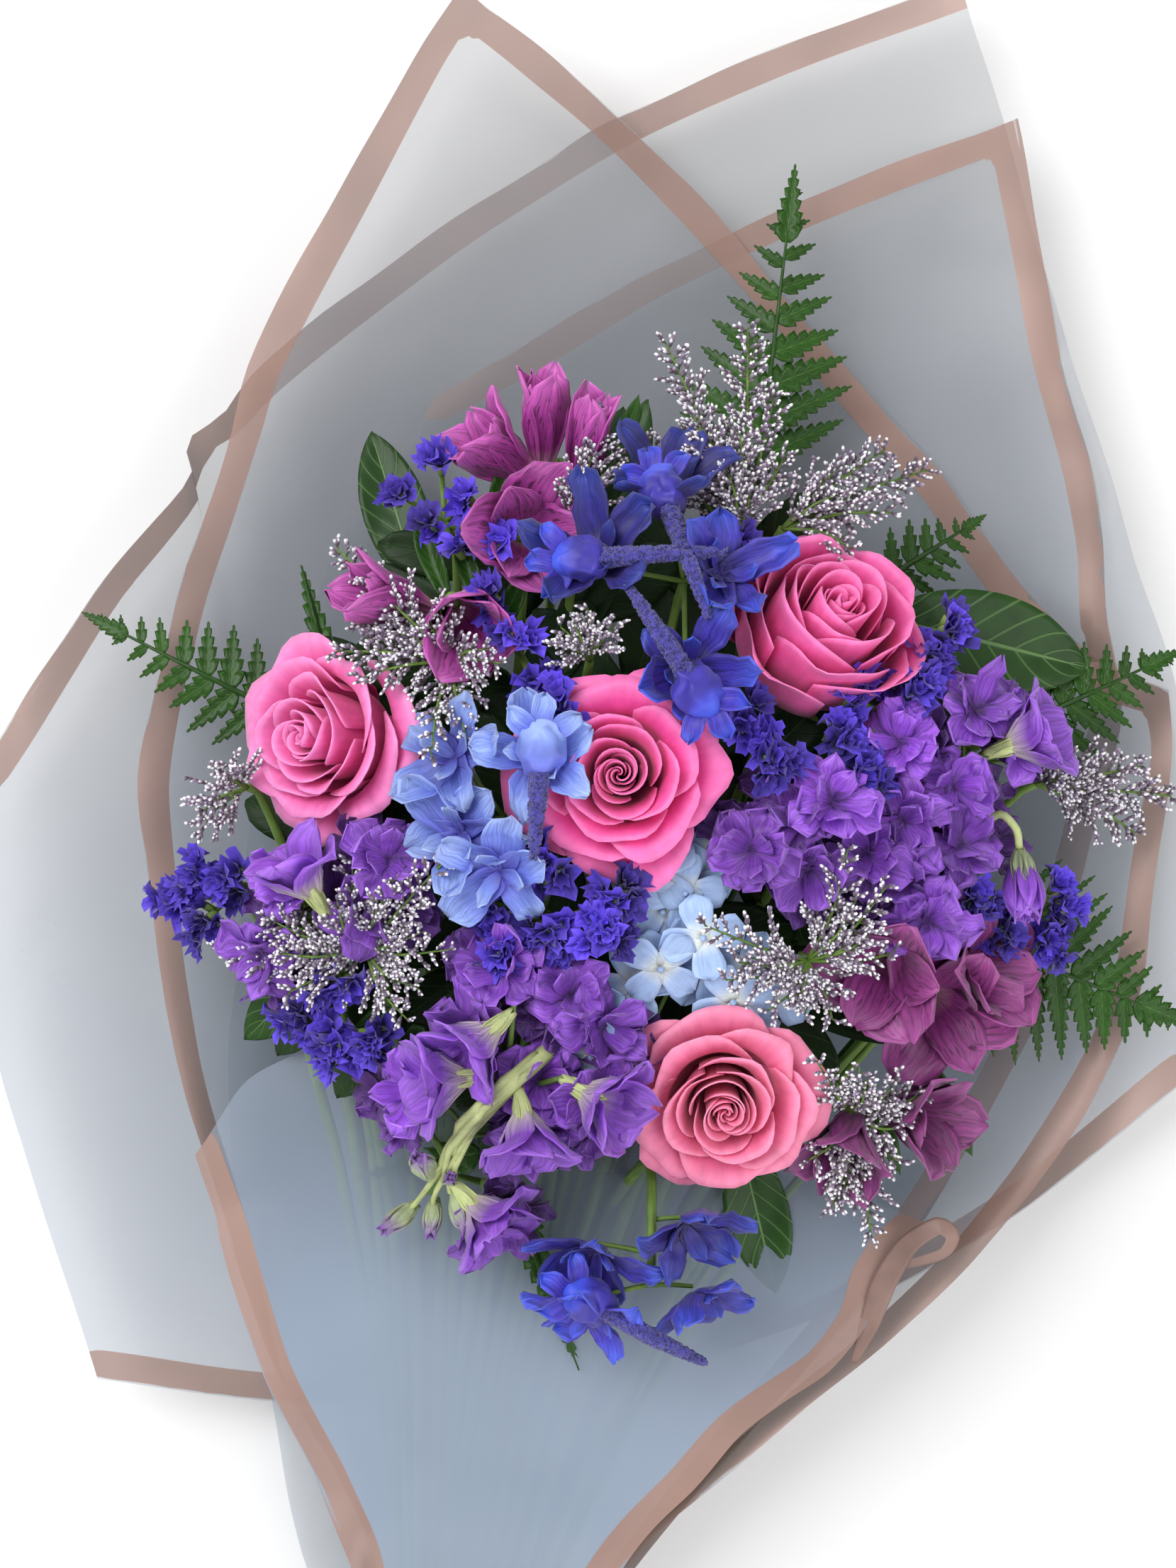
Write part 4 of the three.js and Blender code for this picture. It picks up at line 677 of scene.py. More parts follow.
def rose_petal(rose, whorl, share, turn, chance):
    radius, open_ = rose["radius"], rose["open"]
    reach = radius * lerp(*whorl["reach"], share) * lerp(1.6, 1, open_) * chance.uniform(0.95, 1.05)
    top = rose["height"] * lerp(*whorl["top"], share) * chance.uniform(0.95, 1.04)
    half_turn = lerp(*whorl["turn"], share) * chance.uniform(0.85, 1.1)
    curl = radius * lerp(*whorl["curl"], share) * open_ * chance.uniform(0.8, 1.15)
    flare = radius * whorl["flare"] * open_
    outer = max(lerp(*whorl["reach"], share) - 0.2, 0)
    wave = radius * 0.1 * outer
    tip = radius * 0.2 * outer * chance.uniform(0.1, 1.3)
    tip_spot, phase = chance.uniform(-0.3, 0.3), chance.uniform(0, 6)

    def place(u, v):
        lift = v * (1 - 0.2 * abs(u) ** 2.6)
        belly = math.sin(min(lift / 0.66, 1) * math.pi / 2) ** 0.8
        over = max(lift - 0.68, 0) / 0.32
        fold = tip * math.exp(-((u - tip_spot) * 3.4) ** 2) * over ** 1.6
        ripple = wave * (math.sin(u * 4.2 + phase) + 0.5 * math.sin(u * 10 + phase * 2)) * lift ** 4
        rho = reach * lerp(0.2, 1, belly) + u * radius * 0.06 * lift + flare * lift ** 3
        rho += curl * over ** 1.5 + fold + ripple
        z = top * lift - abs(curl) * 0.7 * over ** 2.2 - fold * 0.8 + ripple * 0.8
        angle = turn + u * half_turn * lerp(0.55, 1, min(v * 1.8, 1))
        return Vector((rho * math.cos(angle), rho * math.sin(angle), z))
    return grid(14, 14, place, 0.45)


def build_roses():
    for name, rose in ROSES.items():
        chance = random.Random(name)
        aim = Vector(rose["leans"]).normalized()
        base = on_dome(*rose["spot"], rose["lift"]) - aim * rose["height"] * 0.5
        heap, turn, number = new_heap(), 0.0, 0
        for whorl in ROSE_WHORLS:
            for k in range(whorl["count"]):
                share = k / (whorl["count"] - 1)
                mesh = as_mesh(rose_petal(rose, whorl, share, turn, chance))
                # each petal's number is its shade value, dark in the middle and pale outside: partly the
                # outer petals' own paler tone, partly painted shade deep in the bloom
                stamp(heap, mesh, facing(base, aim, 0.7), number / (ROSE_PETALS - 1))
                turn += GOLDEN + chance.uniform(-0.2, 0.2)
                number += 1
        finished(heap, f"rose_{name}_petals", f"rose_{name}", f"rose_{name}_petals", f"rose_{name}_bloom")
        hip = base - aim * rose["radius"] * 0.08
        size = rose["radius"] * 0.24
        heap = new_heap()
        foot = hip - aim * size * 0.5
        lay(heap, stem_tube(f"rose_{name}_stem", [foot], 2.2), HERE, 0.4)
        lay(heap, bead(size, 1.0, 2), facing(hip - aim * size, aim))
        for k in range(5):
            sepal = petal(k * FIFTH, size * 2.6, size * 1.1, lift=0.1, blunt=1.6, curl=-0.2)
            lay(heap, sepal, facing(hip + aim * size * 0.3, aim), 0.6)
        finished(heap, f"rose_{name}_green", "stem", "rose_green", f"rose_{name}_stem")


# ---- leaves between the heads, darkened with painted shade ----
FOLIAGE = 84
FOLIAGE_REACH = 104
FOLIAGE_CENTRE = (8, -14)
OUTER_LEAVES = (            # foot and tip in the plan, width, lift
    ((-66, -74), (-84, -106), 20, -16), ((-56, -80), (-62, -116), 18, -18),
    ((-84, -60), (-104, -92), 20, -22), ((-44, -92), (-72, -112), 17, -20),
    ((2, 84), (12, 128), 17, -12), ((38, 88), (62, 112), 18, -20),
)


def build_foliage():
    """Leaves of the roses and the stock fill the gaps under the heads; their colour is darkened as painted
    shade.
    """
    chance = random.Random("foliage")
    owners = [(f"rose_{name}_stem", rose["spot"]) for name, rose in ROSES.items()]
    owners += [(f"stock_{name}", plan["hub"]) for name, plan in STOCKS.items()]
    shapes = [as_mesh(blade(length, width, fold=0.2, arch=0.16, thick=0.35, blunt=2.0, low=0.2, wave=0.8,
                            across=6, along=12)) for length, width in ((42, 19), (48, 17), (36, 21))]
    heaps = {node: new_heap() for node, spot in owners}
    for k in range(FOLIAGE):
        away, angle = FOLIAGE_REACH * math.sqrt((k + 0.5) / FOLIAGE), k * GOLDEN
        x = FOLIAGE_CENTRE[0] + away * math.cos(angle)
        y = FOLIAGE_CENTRE[1] + away * math.sin(angle) * 0.94
        node = min(owners, key=lambda owner: math.dist(owner[1], (x, y)))[0]
        turn = angle + chance.uniform(-1.1, 1.1)
        out = Vector((math.cos(turn), math.sin(turn), chance.uniform(-0.1, 0.35)))
        spot = on_dome(x, y, chance.uniform(-54, -42)) - out * 14
        stamp(heaps[node], shapes[k % 3], leaf_place(spot, out), chance.uniform(0.1, 0.9))
    for (x0, y0), (x1, y1), width, lift in OUTER_LEAVES:
        node = min(owners, key=lambda owner: math.dist(owner[1], (x0, y0)))[0]
        foot, tip = on_dome(x0, y0, lift), on_dome(x1, y1, lift)
        leaf = blade((tip - foot).length, width, fold=0.2, arch=0.1, thick=0.35, blunt=1.8, low=0.15,
                     wave=0.8, across=8, along=24, point=0.75, ribs=6)
        lay(heaps[node], leaf, leaf_place(foot, tip - foot), 1.3)
    for node, heap in heaps.items():
        finished(heap, f"{node}_leaves", "foliage", "broad_leaf", node)


# ---- stock ----
STOCK_SHAPES = 9
STOCK_RINGS = (             # petals, length, width and how far they stand up
    (4, 16.5, 17.5, 0.02), (4, 13.0, 14.5, 0.5), (3, 9.0, 11.0, 1.3),
)
STOCK_SIDES = {             # florets seen from the side: plan position of the calyx, and the aim
    "lower": ((-39, -97, 6, (-1.0, -0.1, 0.3)), (-22, -107, 8, (0.2, -1.0, 0.45)),
              (-30, -80, 6, (-0.8, -0.7, 0.4)), (-3, -101, 5, (0.9, -0.5, 0.5)),
              (-40, -137, 2, (0.75, -0.75, 0.35))),
    "left": ((-90, -38, 4, (-0.5, 0.8, 0.4)),),
    "right_upper": ((138, 12, 4, (0.9, 0.35, 0.4)),),
}
BUD_SPOTS = ((-55, -142), (144, -34))
BUD_CLUSTER = (             # plan position, lift, size and aim of the green buds at the bent tip
    (-53, -129, 0, 1.0, (-0.2, 0.5, 0.8)), (-59, -141, -6, 0.95, (-0.7, -0.5, 0.5)),
    (-51, -140, -5, 0.85, (-0.1, -0.9, 0.5)), (-43, -136, -3, 1.1, (0.3, -0.8, 0.6)),
    (-39, -142, -6, 0.8, (0.5, -0.7, 0.5)), (-46, -131, -2, 0.7, (0.1, 0.2, 1.0)),
)
BENT_TIP = ((-8, -84, -16), (-24, -98, 6), (-36, -109, 8), (-46, -121, 4), (-50, -131, -4))


def side_floret(chance):
    """A floret from the side: its petals flare from a narrow calyx."""
    frill = [tepal(k * 1.257 + chance.uniform(-0.2, 0.2), 25, 19, lerp(0.7, 1.7, chance.random()), chance)
             for k in range(5)]
    cup = [tepal(k * 1.571, 13, 4.6, 0.1, chance) for k in range(4)]
    return crumpled(as_mesh(*frill), 1.6, 12, 3.0), as_mesh(*cup)


def stock_floret(chance):
    parts = []
    for ring, (count, length, width, lift) in enumerate(STOCK_RINGS):
        for k in range(count):
            parts.append(petal(k * 2 * math.pi / count + ring * 0.7 + chance.uniform(-0.3, 0.3),
                               length * chance.uniform(0.85, 1.1), width * chance.uniform(0.85, 1.1),
                               lift=lift * chance.uniform(0.5, 1.5), cup=chance.uniform(-0.35, 0.6),
                               ruffle=chance.uniform(0.7, 1.9), waves=chance.uniform(2.2, 4.2),
                               phase=chance.uniform(0, 6), across=7, along=7, blunt=5,
                               curl=chance.uniform(-0.1, 0.3), foot=0.22))
    return crumpled(as_mesh(*parts), 2.6, 11, chance.uniform(0, 50))


def build_stock():
    chance = random.Random("stock")
    florets = [stock_floret(chance) for _ in range(STOCK_SHAPES)]
    calyx = as_mesh(bead(2.6, 2.0, 2))
    bud = as_mesh(*[tepal(k * 1.571 + 0.3, 12.5, 6.2, 0.02, chance) for k in range(4)], bead(2.9, 2.0, 2))
    for name, plan in STOCKS.items():
        node = f"stock_{name}"
        line, green = sprout(node, plan, -34, 18, 2.4)
        petals = new_heap()
        spots = [(x, y, (i % 3) * 4 - 6, 1.0) for i, (x, y) in enumerate(plan["spots"])
                 if (x, y) not in BUD_SPOTS]
        for x, y, lift, size in spots[:]:
            for _ in range(2):
                angle, away = chance.uniform(0, 6.28), chance.uniform(8, 12)
                spots.append((x + away * math.cos(angle), y + away * math.sin(angle),
                              chance.uniform(-17, -10), chance.uniform(0.7, 0.9)))
        for i, (x, y, lift, size) in enumerate(spots):
            point = on_dome(x, y, lift)
            aim = ((point - nearest_on(line, point)).normalized() + outward(point)
                   + UP * chance.uniform(0.2, 1.0)).normalized()
            # the small filler florets lie lower and get the darker shade values: painted shade under the
            # main heads
            shade = chance.uniform(0.35, 1.0) if size == 1.0 else chance.uniform(0.0, 0.35)
            stamp(petals, florets[i % STOCK_SHAPES], facing(point, aim, chance.uniform(0, 6), size), shade)
            stamp(green, calyx, facing(point - aim * 11, aim, 0, size), chance.random())
            hang(green, line, point - aim * 10, 0.7)
        cups, frills = new_heap(), new_heap()
        for x, y, lift, aim in STOCK_SIDES.get(name, ()):
            frill, cup = side_floret(chance)
            point, aim = on_dome(x, y, lift), Vector(aim).normalized()
            stamp(frills, frill, facing(point, aim), chance.uniform(0.6, 1.0))
            stamp(cups, cup, facing(point - aim * 7 + UP * 1.5, aim, 0, 1.15), chance.uniform(0.6, 1.0))
            hang(green, line, point - aim * 7, 1.0)
        if cups.verts:
            finished(cups, f"{node}_calyces", "pale_stem", "stock", node)
            finished(frills, f"{node}_side_florets", "stock_side", "stock", node)
        finished(petals, f"{node}_petals", "stock", "stock", node)
        finished(green, f"{node}_green", "stem", "stock", node)
    tip, cluster = new_heap(), new_heap()
    bent = smooth_line([on_dome(*p) for p in BENT_TIP], 24)
    lay(tip, tube(bent, [3.0, 2.9, 2.4, 1.9, 1.3], 12), HERE, 0.8)
    for i, (x, y, lift, size, aim) in enumerate(BUD_CLUSTER):
        point, aim = on_dome(x, y, lift), Vector(aim).normalized()
        stamp(cluster, bud, facing(point - aim * 3, aim, i, size * 1.25), chance.random())
        beside = Vector((math.cos(i * 2.1), math.sin(i * 2.1), 0.5)) * 1.9
        along = [bent[k] + beside for k in range(2 + i * 2, 10 + i * 2, 2)]
        strand = smooth_line([*along, bent[-2].lerp(point, 0.5) + UP * 2, point + aim], 16)
        lay(tip, tube(strand, [1.5, 1.5, 1.1, 0.9], 7), HERE, 0.5 + 0.1 * i)
    finished(tip, "stock_lower_bent_tip", "pale_stem", "stock", "stock_lower")
    finished(cluster, "stock_lower_buds", "buds", "stock", "stock_lower")
    nod, hook, closed = new_heap(), new_heap(), new_heap()
    neck = [on_dome(130, -13, -8), on_dome(137, -10, 0), on_dome(142, -15, 4), on_dome(143, -21, 3)]
    lay(hook, tube(smooth_line(neck, 14), [1.5, 1.3], 8), HERE, 0.9)
    down = Vector((0.05, -0.85, 0.4)).normalized()
    for k in range(6):
        sepal, frill = tepal(k * 1.047, 13, 8, 0.1, chance), tepal(k * 1.047 + 0.5, 24, 13, 0.14, chance)
        lay(nod, sepal, facing(on_dome(143, -21, 0), down), 0.1)
        lay(closed, frill, facing(on_dome(143, -23, -1), down), 0.8)
    finished(hook, "stock_right_hook", "pale_stem", "stock", "stock_right")
    finished(nod, "stock_right_calyx", "buds", "stock", "stock_right")
    finished(closed, "stock_right_nodding_bud", "stock", "stock", "stock_right")


# ---- statice ----
STATICE_SHAPES = 5
STATICE_CUPS = 5            # in each cluster, and fewer on some stems
STATICE_FEW = {"upper_left": 2, "upper": 3, "right": 4}


def statice_cup(chance):
    """A papery cup whose rim is crumpled in deep folds, with a smaller one inside."""
    def cup(size, folds, phase):
        def place(u, v):
            angle = math.pi * u
            crease = math.cos(angle * folds + phase)
            crease = (crease + 0.7 * math.cos(angle * (folds * 2 + 1) + phase * 3)) * v
            frill = math.sin(angle * folds * 2 + phase) * 0.9 * v * v
            radius = size * (0.7 + 4.3 * v ** 1.4 + crease * 0.95)
            return Vector((radius * math.cos(angle), radius * math.sin(angle), 5.4 * v ** 0.75 + frill))
        return place
    tilt = chance.uniform(0, 6)
    outer, inner = grid(24, 4, cup(1.0, 5, 0.5 + tilt)), grid(14, 2, cup(0.5, 3, 1.5 + tilt))
    return crumpled(as_mesh(outer, inner), 2.4, 5, tilt)


def build_statice():
    chance = random.Random("statice")
    cups = [statice_cup(chance) for _ in range(STATICE_SHAPES)]
    sheath = as_mesh(bead(1.7, 2.1))
    for name, plan in STATICES.items():
        node = f"statice_{name}"
        line, green = sprout(node, plan, -30, 12, shade=0.6)
        frills = new_heap()
        count = STATICE_FEW.get(name, STATICE_CUPS)
        for i, (x, y) in enumerate(plan["spots"]):
            point = on_dome(x, y, (i % 2) * 3 - 4)
            hang(green, line, point - UP * 5, 0.9)
            for k in range(count):
                angle, away = k * GOLDEN + i, 3.3 * math.sqrt(k)
                aim = (outward(point) + Vector((math.cos(angle), math.sin(angle), 0)) * away * 0.12
                       + Vector((chance.uniform(-.3, .3), chance.uniform(-.3, .3), 0))).normalized()
                spot = point + Vector((math.cos(angle), math.sin(angle), 0)) * away - UP * away * 0.5
                place = facing(spot - aim * 2, aim, chance.uniform(0, 6), chance.uniform(0.9, 1.25))
                stamp(frills, cups[(i + k) % STATICE_SHAPES], place, chance.random())
                stamp(green, sheath, facing(spot - aim * 7, aim), chance.random())
        finished(frills, f"{node}_frills", "statice", "statice", node)
        finished(green, f"{node}_green", "stem", "statice", node)


# ---- sea lavender ----
SPRIG_GAP = 2.5             # along a twig
BUD_GAP = 1.15              # along a sprig
OPEN_SHARE = 0.72           # of the cups hold an open bud


def build_sea_lavender():
    chance = random.Random("sea lavender")
    bud, cup = as_mesh(bead(0.5, 1.7)), as_mesh(bead(0.66, 1.7))
    for name, plan in SEA_LAVENDERS.items():
        node = f"sea_lavender_{name}"
        line, twigs = sprout(node, plan, -24, 8)
        buds, cups = new_heap(), new_heap()
        tips = [on_dome(x, y, 2 + (i % 3) * 2) for i, (x, y) in enumerate(plan["twigs"])]
        for tip in tips[:]:
            turn = Matrix.Rotation(chance.choice((-1, 1)) * chance.uniform(0.2, 0.45), 3, "Z")
            tips.append(line[0] + turn @ (tip - line[0]) * chance.uniform(0.6, 0.85)
                        + UP * chance.uniform(2, 9))
        for tip in tips:
            start = nearest_on(line, tip)
            middle = start.lerp(tip, 0.5) + outward(start) * 5
            spine = smooth_line([start, middle, tip], 12)
            lay(twigs, tube(spine, [0.8, 0.55, 0.3], 5))
            aim = (tip - start).normalized()
            side = aim.cross(UP).normalized()
            sprigs = max(int((tip - start).length / SPRIG_GAP), 8)
            for k in range(sprigs):
                share = lerp(0.16, 1.0, k / (sprigs - 1))
                foot = edge_at(spine, share)
                hand = 1 if k % 2 else -1
                reach = lerp(15, 3, share ** 1.5) * chance.uniform(0.45, 1.3)
                out = (aim * chance.uniform(0.7, 1.5) + side * hand * chance.uniform(0.4, 1.3)
                       + UP * chance.uniform(-0.1, 0.8)).normalized()
                end = foot + out * reach
                lay(twigs, tube([foot, foot.lerp(end, 0.5), end], [0.35, 0.2], 4), HERE, 0.6)
                count = max(int(reach / BUD_GAP), 3)
                for j in range(int(count * 1.7)):
                    spot = foot.lerp(end, min((j / 1.7 + 0.6) / count, 1))
                    lean = out * 1.2 + UP * 0.5 + Vector([chance.uniform(-0.8, 0.8) for _ in range(3)])
                    place, size = lean.normalized(), chance.uniform(0.8, 1.25)
                    stamp(cups, cup, facing(spot, place, 0, size), chance.random())
                    if chance.random() < OPEN_SHARE:
                        bud_at = facing(spot + place * BUD_GAP * size, place, 0, size)
                        stamp(buds, bud, bud_at, chance.random())
        finished(buds, f"{node}_buds", "sea_lavender", "sea_lavender", node)
        finished(cups, f"{node}_cups", "sea_lavender_cups", "sea_lavender", node)
        finished(twigs, f"{node}_twigs", "stem", "sea_lavender", node)


# ---- larkspur ----
SPUR_RADII = (3.3, 3.0, 2.7, 2.3, 1.9, 1.1)
SPUR_WRINKLE = 0.55
HOOD_RADIUS = 7.4
LARKSPUR_SHUT = {"upper": 0.75, "centre_left": 0.35, "lower": 0.55}


def larkspur_floret(chance, shut):
    """Five broad sepals round a small eye; `shut` is how far they close into a hood."""
    parts = [petal(k * FIFTH + chance.uniform(-0.2, 0.2), 20 * chance.uniform(0.8, 1.1),
                   17.5 * chance.uniform(0.8, 1.1), lift=shut + chance.uniform(-0.35, 0.3),
                   cup=chance.uniform(0.2, 0.8), ruffle=1.4, waves=3, phase=chance.uniform(0, 6),
                   across=8, along=10, blunt=2.7, foot=0.34, curl=chance.uniform(-0.1, 0.3))
             for k in range(5)]
    parts += [petal(k * 2.1 + 0.5, 9, 7, lift=0.9, cup=0.6, ruffle=0.5, blunt=4) for k in range(3)]
    return crumpled(as_mesh(*parts), 1.8, 12, chance.uniform(0, 50))


def wrinkled_spur(a, b):
    bend = a.lerp(b, 0.5) + UP * 5
    spur = tube(smooth_line([a, bend, b], 90), SPUR_RADII, 24)
    spur.normal_update()
    for vert in spur.verts:
        ridge = 1 - abs(noise.noise(vert.co * 0.62)) * 4
        vert.co += vert.normal * ridge * SPUR_WRINKLE
    return spur


def build_larkspur():
    chance = random.Random("larkspur")
    for name, plan in LARKSPURS.items():
        florets = [larkspur_floret(chance, LARKSPUR_SHUT[name]) for _ in range(5)]
        node = f"larkspur_{name}"
        line, green = sprout(node, plan, -30, 14)
        petals, spurs = new_heap(), new_heap()
        for i, (x, y) in enumerate(plan["spots"]):
            point = on_dome(x, y, (i % 2) * 4 - 2)
            side = (point - nearest_on(line, point)).normalized()
            aim = (outward(point, 0.012) + side * 0.4 + UP * 0.3).normalized()
            stamp(petals, florets[i], facing(point, aim, i * 0.5, 1.1), chance.random())
            hang(green, line, point - aim * 3, 0.8)
        for (x0, y0), (x1, y1) in plan["spurs"]:
            start, end = on_dome(x0, y0, 10), on_dome(x1, y1, 12)
            lay(spurs, wrinkled_spur(start, end), HERE, chance.random())
            back = (start - end).normalized() + UP * 0.15
            hood = crumpled(as_mesh(bead(HOOD_RADIUS, 1.35, 4)), 2.2, 6, chance.uniform(0, 50))
            stamp(petals, hood, facing(start - back * 4 - UP * 3, back), 0.75)
            for k in range(3):
                flare = petal((k - 1) * 0.9, 15, 12, lift=0.1, cup=0.5, ruffle=1.2, waves=3, across=7,
                              along=8, blunt=2.6, curl=0.3, phase=k)
                place = leaf_place(start + back * 9 - UP * 3, back)
                stamp(petals, crumpled(as_mesh(flare), 1.6, 12, k + 3.0), place, chance.uniform(0.8, 1.0))
        kind = "larkspur_light" if name == "centre_left" else "larkspur"
        finished(petals, f"{node}_petals", kind, kind, node)
        finished(spurs, f"{node}_spurs", "spur", kind, node)
        finished(green, f"{node}_green", "stem", "rose_green", node)


# ---- hydrangea ----
def build_hydrangea():
    chance = random.Random("hydrangea")
    line, green = sprout("hydrangea", HYDRANGEA, -36, 12, 2.4)
    petals = new_heap()
    floret = as_mesh(*[petal(k * math.pi / 2, 14.5, 15.5, lift=-0.04, cup=0.12, ruffle=0.5, waves=3,
                             across=6, along=6, blunt=4.5, foot=0.25, phase=k) for k in range(4)],
                     bead(1.3, 0.9))
    spots = [(x, y, -13 + (i % 3) * 2) for i, (x, y) in enumerate(HYDRANGEA["spots"])]
    for x, y in HYDRANGEA["spots"]:
        for _ in range(2):
            spots.append((x + chance.uniform(-14, 14), y + chance.uniform(-14, 14),
                          chance.uniform(-20, -14)))
    for i, (x, y, lift) in enumerate(spots):
        point = on_dome(x, y, lift)
        aim = (outward(point) + Vector((chance.uniform(-.2, .2), chance.uniform(-.2, .2), 0))).normalized()
        stamp(petals, floret, facing(point, aim, i * 0.9), chance.random())
        hang(green, line, point - aim * 2, 0.7)
    finished(petals, "hydrangea_petals", "hydrangea", "hydrangea", "hydrangea")
    finished(green, "hydrangea_green", "stem", "rose_green", "hydrangea")


# ---- alstroemeria ----
def alstroemeria_bloom(open_, chance):
    """Two whorls of three; `open_` is how far they stand up, from 0.7 open to 1.25 nearly shut."""
    lean = lerp(1.75, 0.22, (open_ - 0.7) / 0.55)
    slim = lerp(1.0, 0.55, max(open_ - 1.0, 0) / 0.25)
    bloom = as_mesh(*[tepal(k * math.pi / 3 + chance.uniform(-0.08, 0.08), 32 if k % 2 else 29,
                            (23 if k % 2 else 16) * slim * chance.uniform(0.9, 1.1),
                            lean * chance.uniform(0.7, 1.25) * (1 if k % 2 else 0.8), chance)
                      for k in range(6)])
    return crumpled(bloom, 1.6, 16, chance.uniform(0, 50))


ALSTROEMERIA_LEAVES = {     # plan position of the foot and the tip, width
    "top": (((-22, 92), (-30, 118), 11), ((5, 92), (17, 130), 11)),
    "upper": (((-30, 84), (-27, 108), 11), ((-12, 70), (2, 92), 9), ((-8, 84), (4, 106), 8)),
    "upper_left": (((-47, 62), (-58, 90), 10), ((-36, 60), (-44, 84), 9), ((-30, 50), (-20, 72), 9)),
    "right": (((108, -44), (136, -48), 10),),
    "lower_right": (((112, -92), (128, -124), 11), ((92, -100), (104, -130), 9)),
}
# each group's shade value: the top groups are painted lighter and the right groups darker, partly their
# own tone and partly painted light and shade
ALSTROEMERIA_LIGHT = {"top": 1.0, "upper": 0.8, "upper_left": 0.9, "right": 0.3, "lower_right": 0.05}


def build_alstroemeria():
    chance = random.Random("alstroemeria")
    for name, plan in ALSTROEMERIAS.items():
        node = f"alstroemeria_{name}"
        line, green = sprout(node, plan, -34, 6)
        petals, leaves = new_heap(), new_heap()
        for i, (x, y, ax, ay, az, open_) in enumerate(plan["blooms"]):
            aim = Vector((ax, ay, az)).normalized()
            point = on_dome(x, y, -8) - aim * 14
            place = facing(point, aim, i, 1.16 if open_ > 1.15 else 1.1)
            stamp(petals, alstroemeria_bloom(open_, chance), place, ALSTROEMERIA_LIGHT[name])
            hang(green, line, point, 1.1)
            lay(green, bead(2.6, 1.7, 2), facing(point - aim * 6, aim))
        for (x0, y0), (x1, y1), width in ALSTROEMERIA_LEAVES[name]:
            foot, tip = on_dome(x0, y0, -20), on_dome(x1, y1, -8)
            leaf = blade((tip - foot).length, width, fold=0.5, arch=0.06, blunt=1.5, wave=0.8, low=0.2,
                         point=0.8, across=6, along=14, thick=0.35)
            lay(leaves, leaf, leaf_place(foot, tip - foot), chance.uniform(0.4, 1.0))
            hang(green, line, foot, 0.9)
        finished(leaves, f"{node}_leaves", "fern", "fern", node)
        finished(petals, f"{node}_petals", "alstroemeria", "alstroemeria", node)
        finished(green, f"{node}_green", "stem", "rose_green", node)


# ---- ferns and broad leaves ----
LOBE_ROWS = (0.4, 0.8, 1.0, 0.5)        # a lobe's half width at each quarter of its length
LOBE_LEAN = (0.0, 0.3, 1.0, 0.8)        # and how far that quarter leans forwards
SINGLE_LEAFLET = 18                     # a frond that reaches less than this to its side is one leaflet


def pinna(length, width, lobes):
    """A fern's leaflet along +X, cut into rounded lobes that point forwards."""
    rows = lobes * 4

    def place(u, v):
        row = round(v * rows)
        near = 1 - (1 - v) ** 1.35
        taper = (1 - near) ** 0.8 * math.sin(min(near * 4 + 0.4, 1) * math.pi / 2)
        half = width / 2 * taper * (LOBE_ROWS[row % 4] if row < rows else 0)
        reach = length * near + u * u * taper * length / lobes * LOBE_LEAN[row % 4]
        return Vector((reach, half * u, 0.16 * half * abs(u) - 0.1 * length * near * near))
    return grid(4, rows, place, 0.3)


def build_ferns():
    chance = random.Random("fern")
    for name, plan in FERNS.items():
        root, end = at(*plan["base"]), at(*plan["tip"])
        if name == "lower":
            root, end = root + UP * 3, end + UP * 2
        heap = new_heap()
        aim, length = (end - root).normalized(), (end - root).length
        spine = smooth_line([root, root.lerp(end, 0.5) + UP * 4, end], 20)
        lay(heap, stem_tube(f"fern_{name}", [root], 2.1), HERE, 0.3)
        lay(heap, tube(spine, [1.2, 0.8, 0.3], 6), HERE, 0.4)
        side = aim.cross(UP).normalized()
        pairs = plan["pairs"] + 1
        if plan["reach"] < SINGLE_LEAFLET:
            leaflet = pinna(length * 1.04, plan["reach"] * 0.95, round(length / 4.6))
            lay(heap, leaflet, leaf_place(root + UP * 3, aim), 0.8)
            pairs = 0
        else:
            tip = pinna(length * 0.27, plan["reach"] * 0.3, 7)
            lay(heap, tip, leaf_place(edge_at(spine, 0.8), aim), 0.6)
        for k in range(pairs):
            share = ((k + 0.3) / pairs) ** 0.92
            long = plan["reach"] * min(0.8 + share, 1) * (1.04 - share)
            width = min(length / pairs * 1.3, long * 0.5)
            for hand in (-1, 1):
                foot = edge_at(spine, min(share + (0.25 if hand > 0 else 0) / pairs, 1))
                out = (side * hand + aim * (0.5 + chance.uniform(-0.05, 0.15))
                       - UP * chance.uniform(-0.1, 0.2))
                leaflet = pinna(long, width, max(round(long / 3.6), 3))
                lay(heap, leaflet, leaf_place(foot, out), chance.uniform(0.2, 0.9))
        finished(heap, f"fern_{name}_frond", "fern", "fern", f"fern_{name}")


def build_broad_leaves():
    for i, (name, plan) in enumerate(BROAD_LEAVES.items()):
        root, end = at(*plan["base"]), at(*plan["tip"])
        heap = new_heap()
        out = (end - root).normalized()
        lay(heap, stem_tube(f"broad_leaf_{name}", [root], 2.1), HERE, 0.3)
        arch = 0.02 if name == "lower" else 0.1
        shape = blade((end - root).length + 9, plan["width"] * 1.12, fold=0.16, arch=arch, along=36,
                      across=12, blunt=1.75, thick=0.5, wave=0.9, low=0.12, point=0.82, ribs=7)
        lay(heap, shape, leaf_place(root - out * 7, out), 0.2 + i * 0.15)
        finished(heap, f"broad_leaf_{name}_leaf", "broad_leaf", "broad_leaf", f"broad_leaf_{name}")


# ---- twine and ribbon ----
TWINE_TURNS = 5
TWINE_PITCH = 1.55
TWINE_RADIUS = 0.78
TWINE_RING = 18.8
RIBBON_WIDTH = 13.6
RIBBON_RADII = (28.8, 27.2)


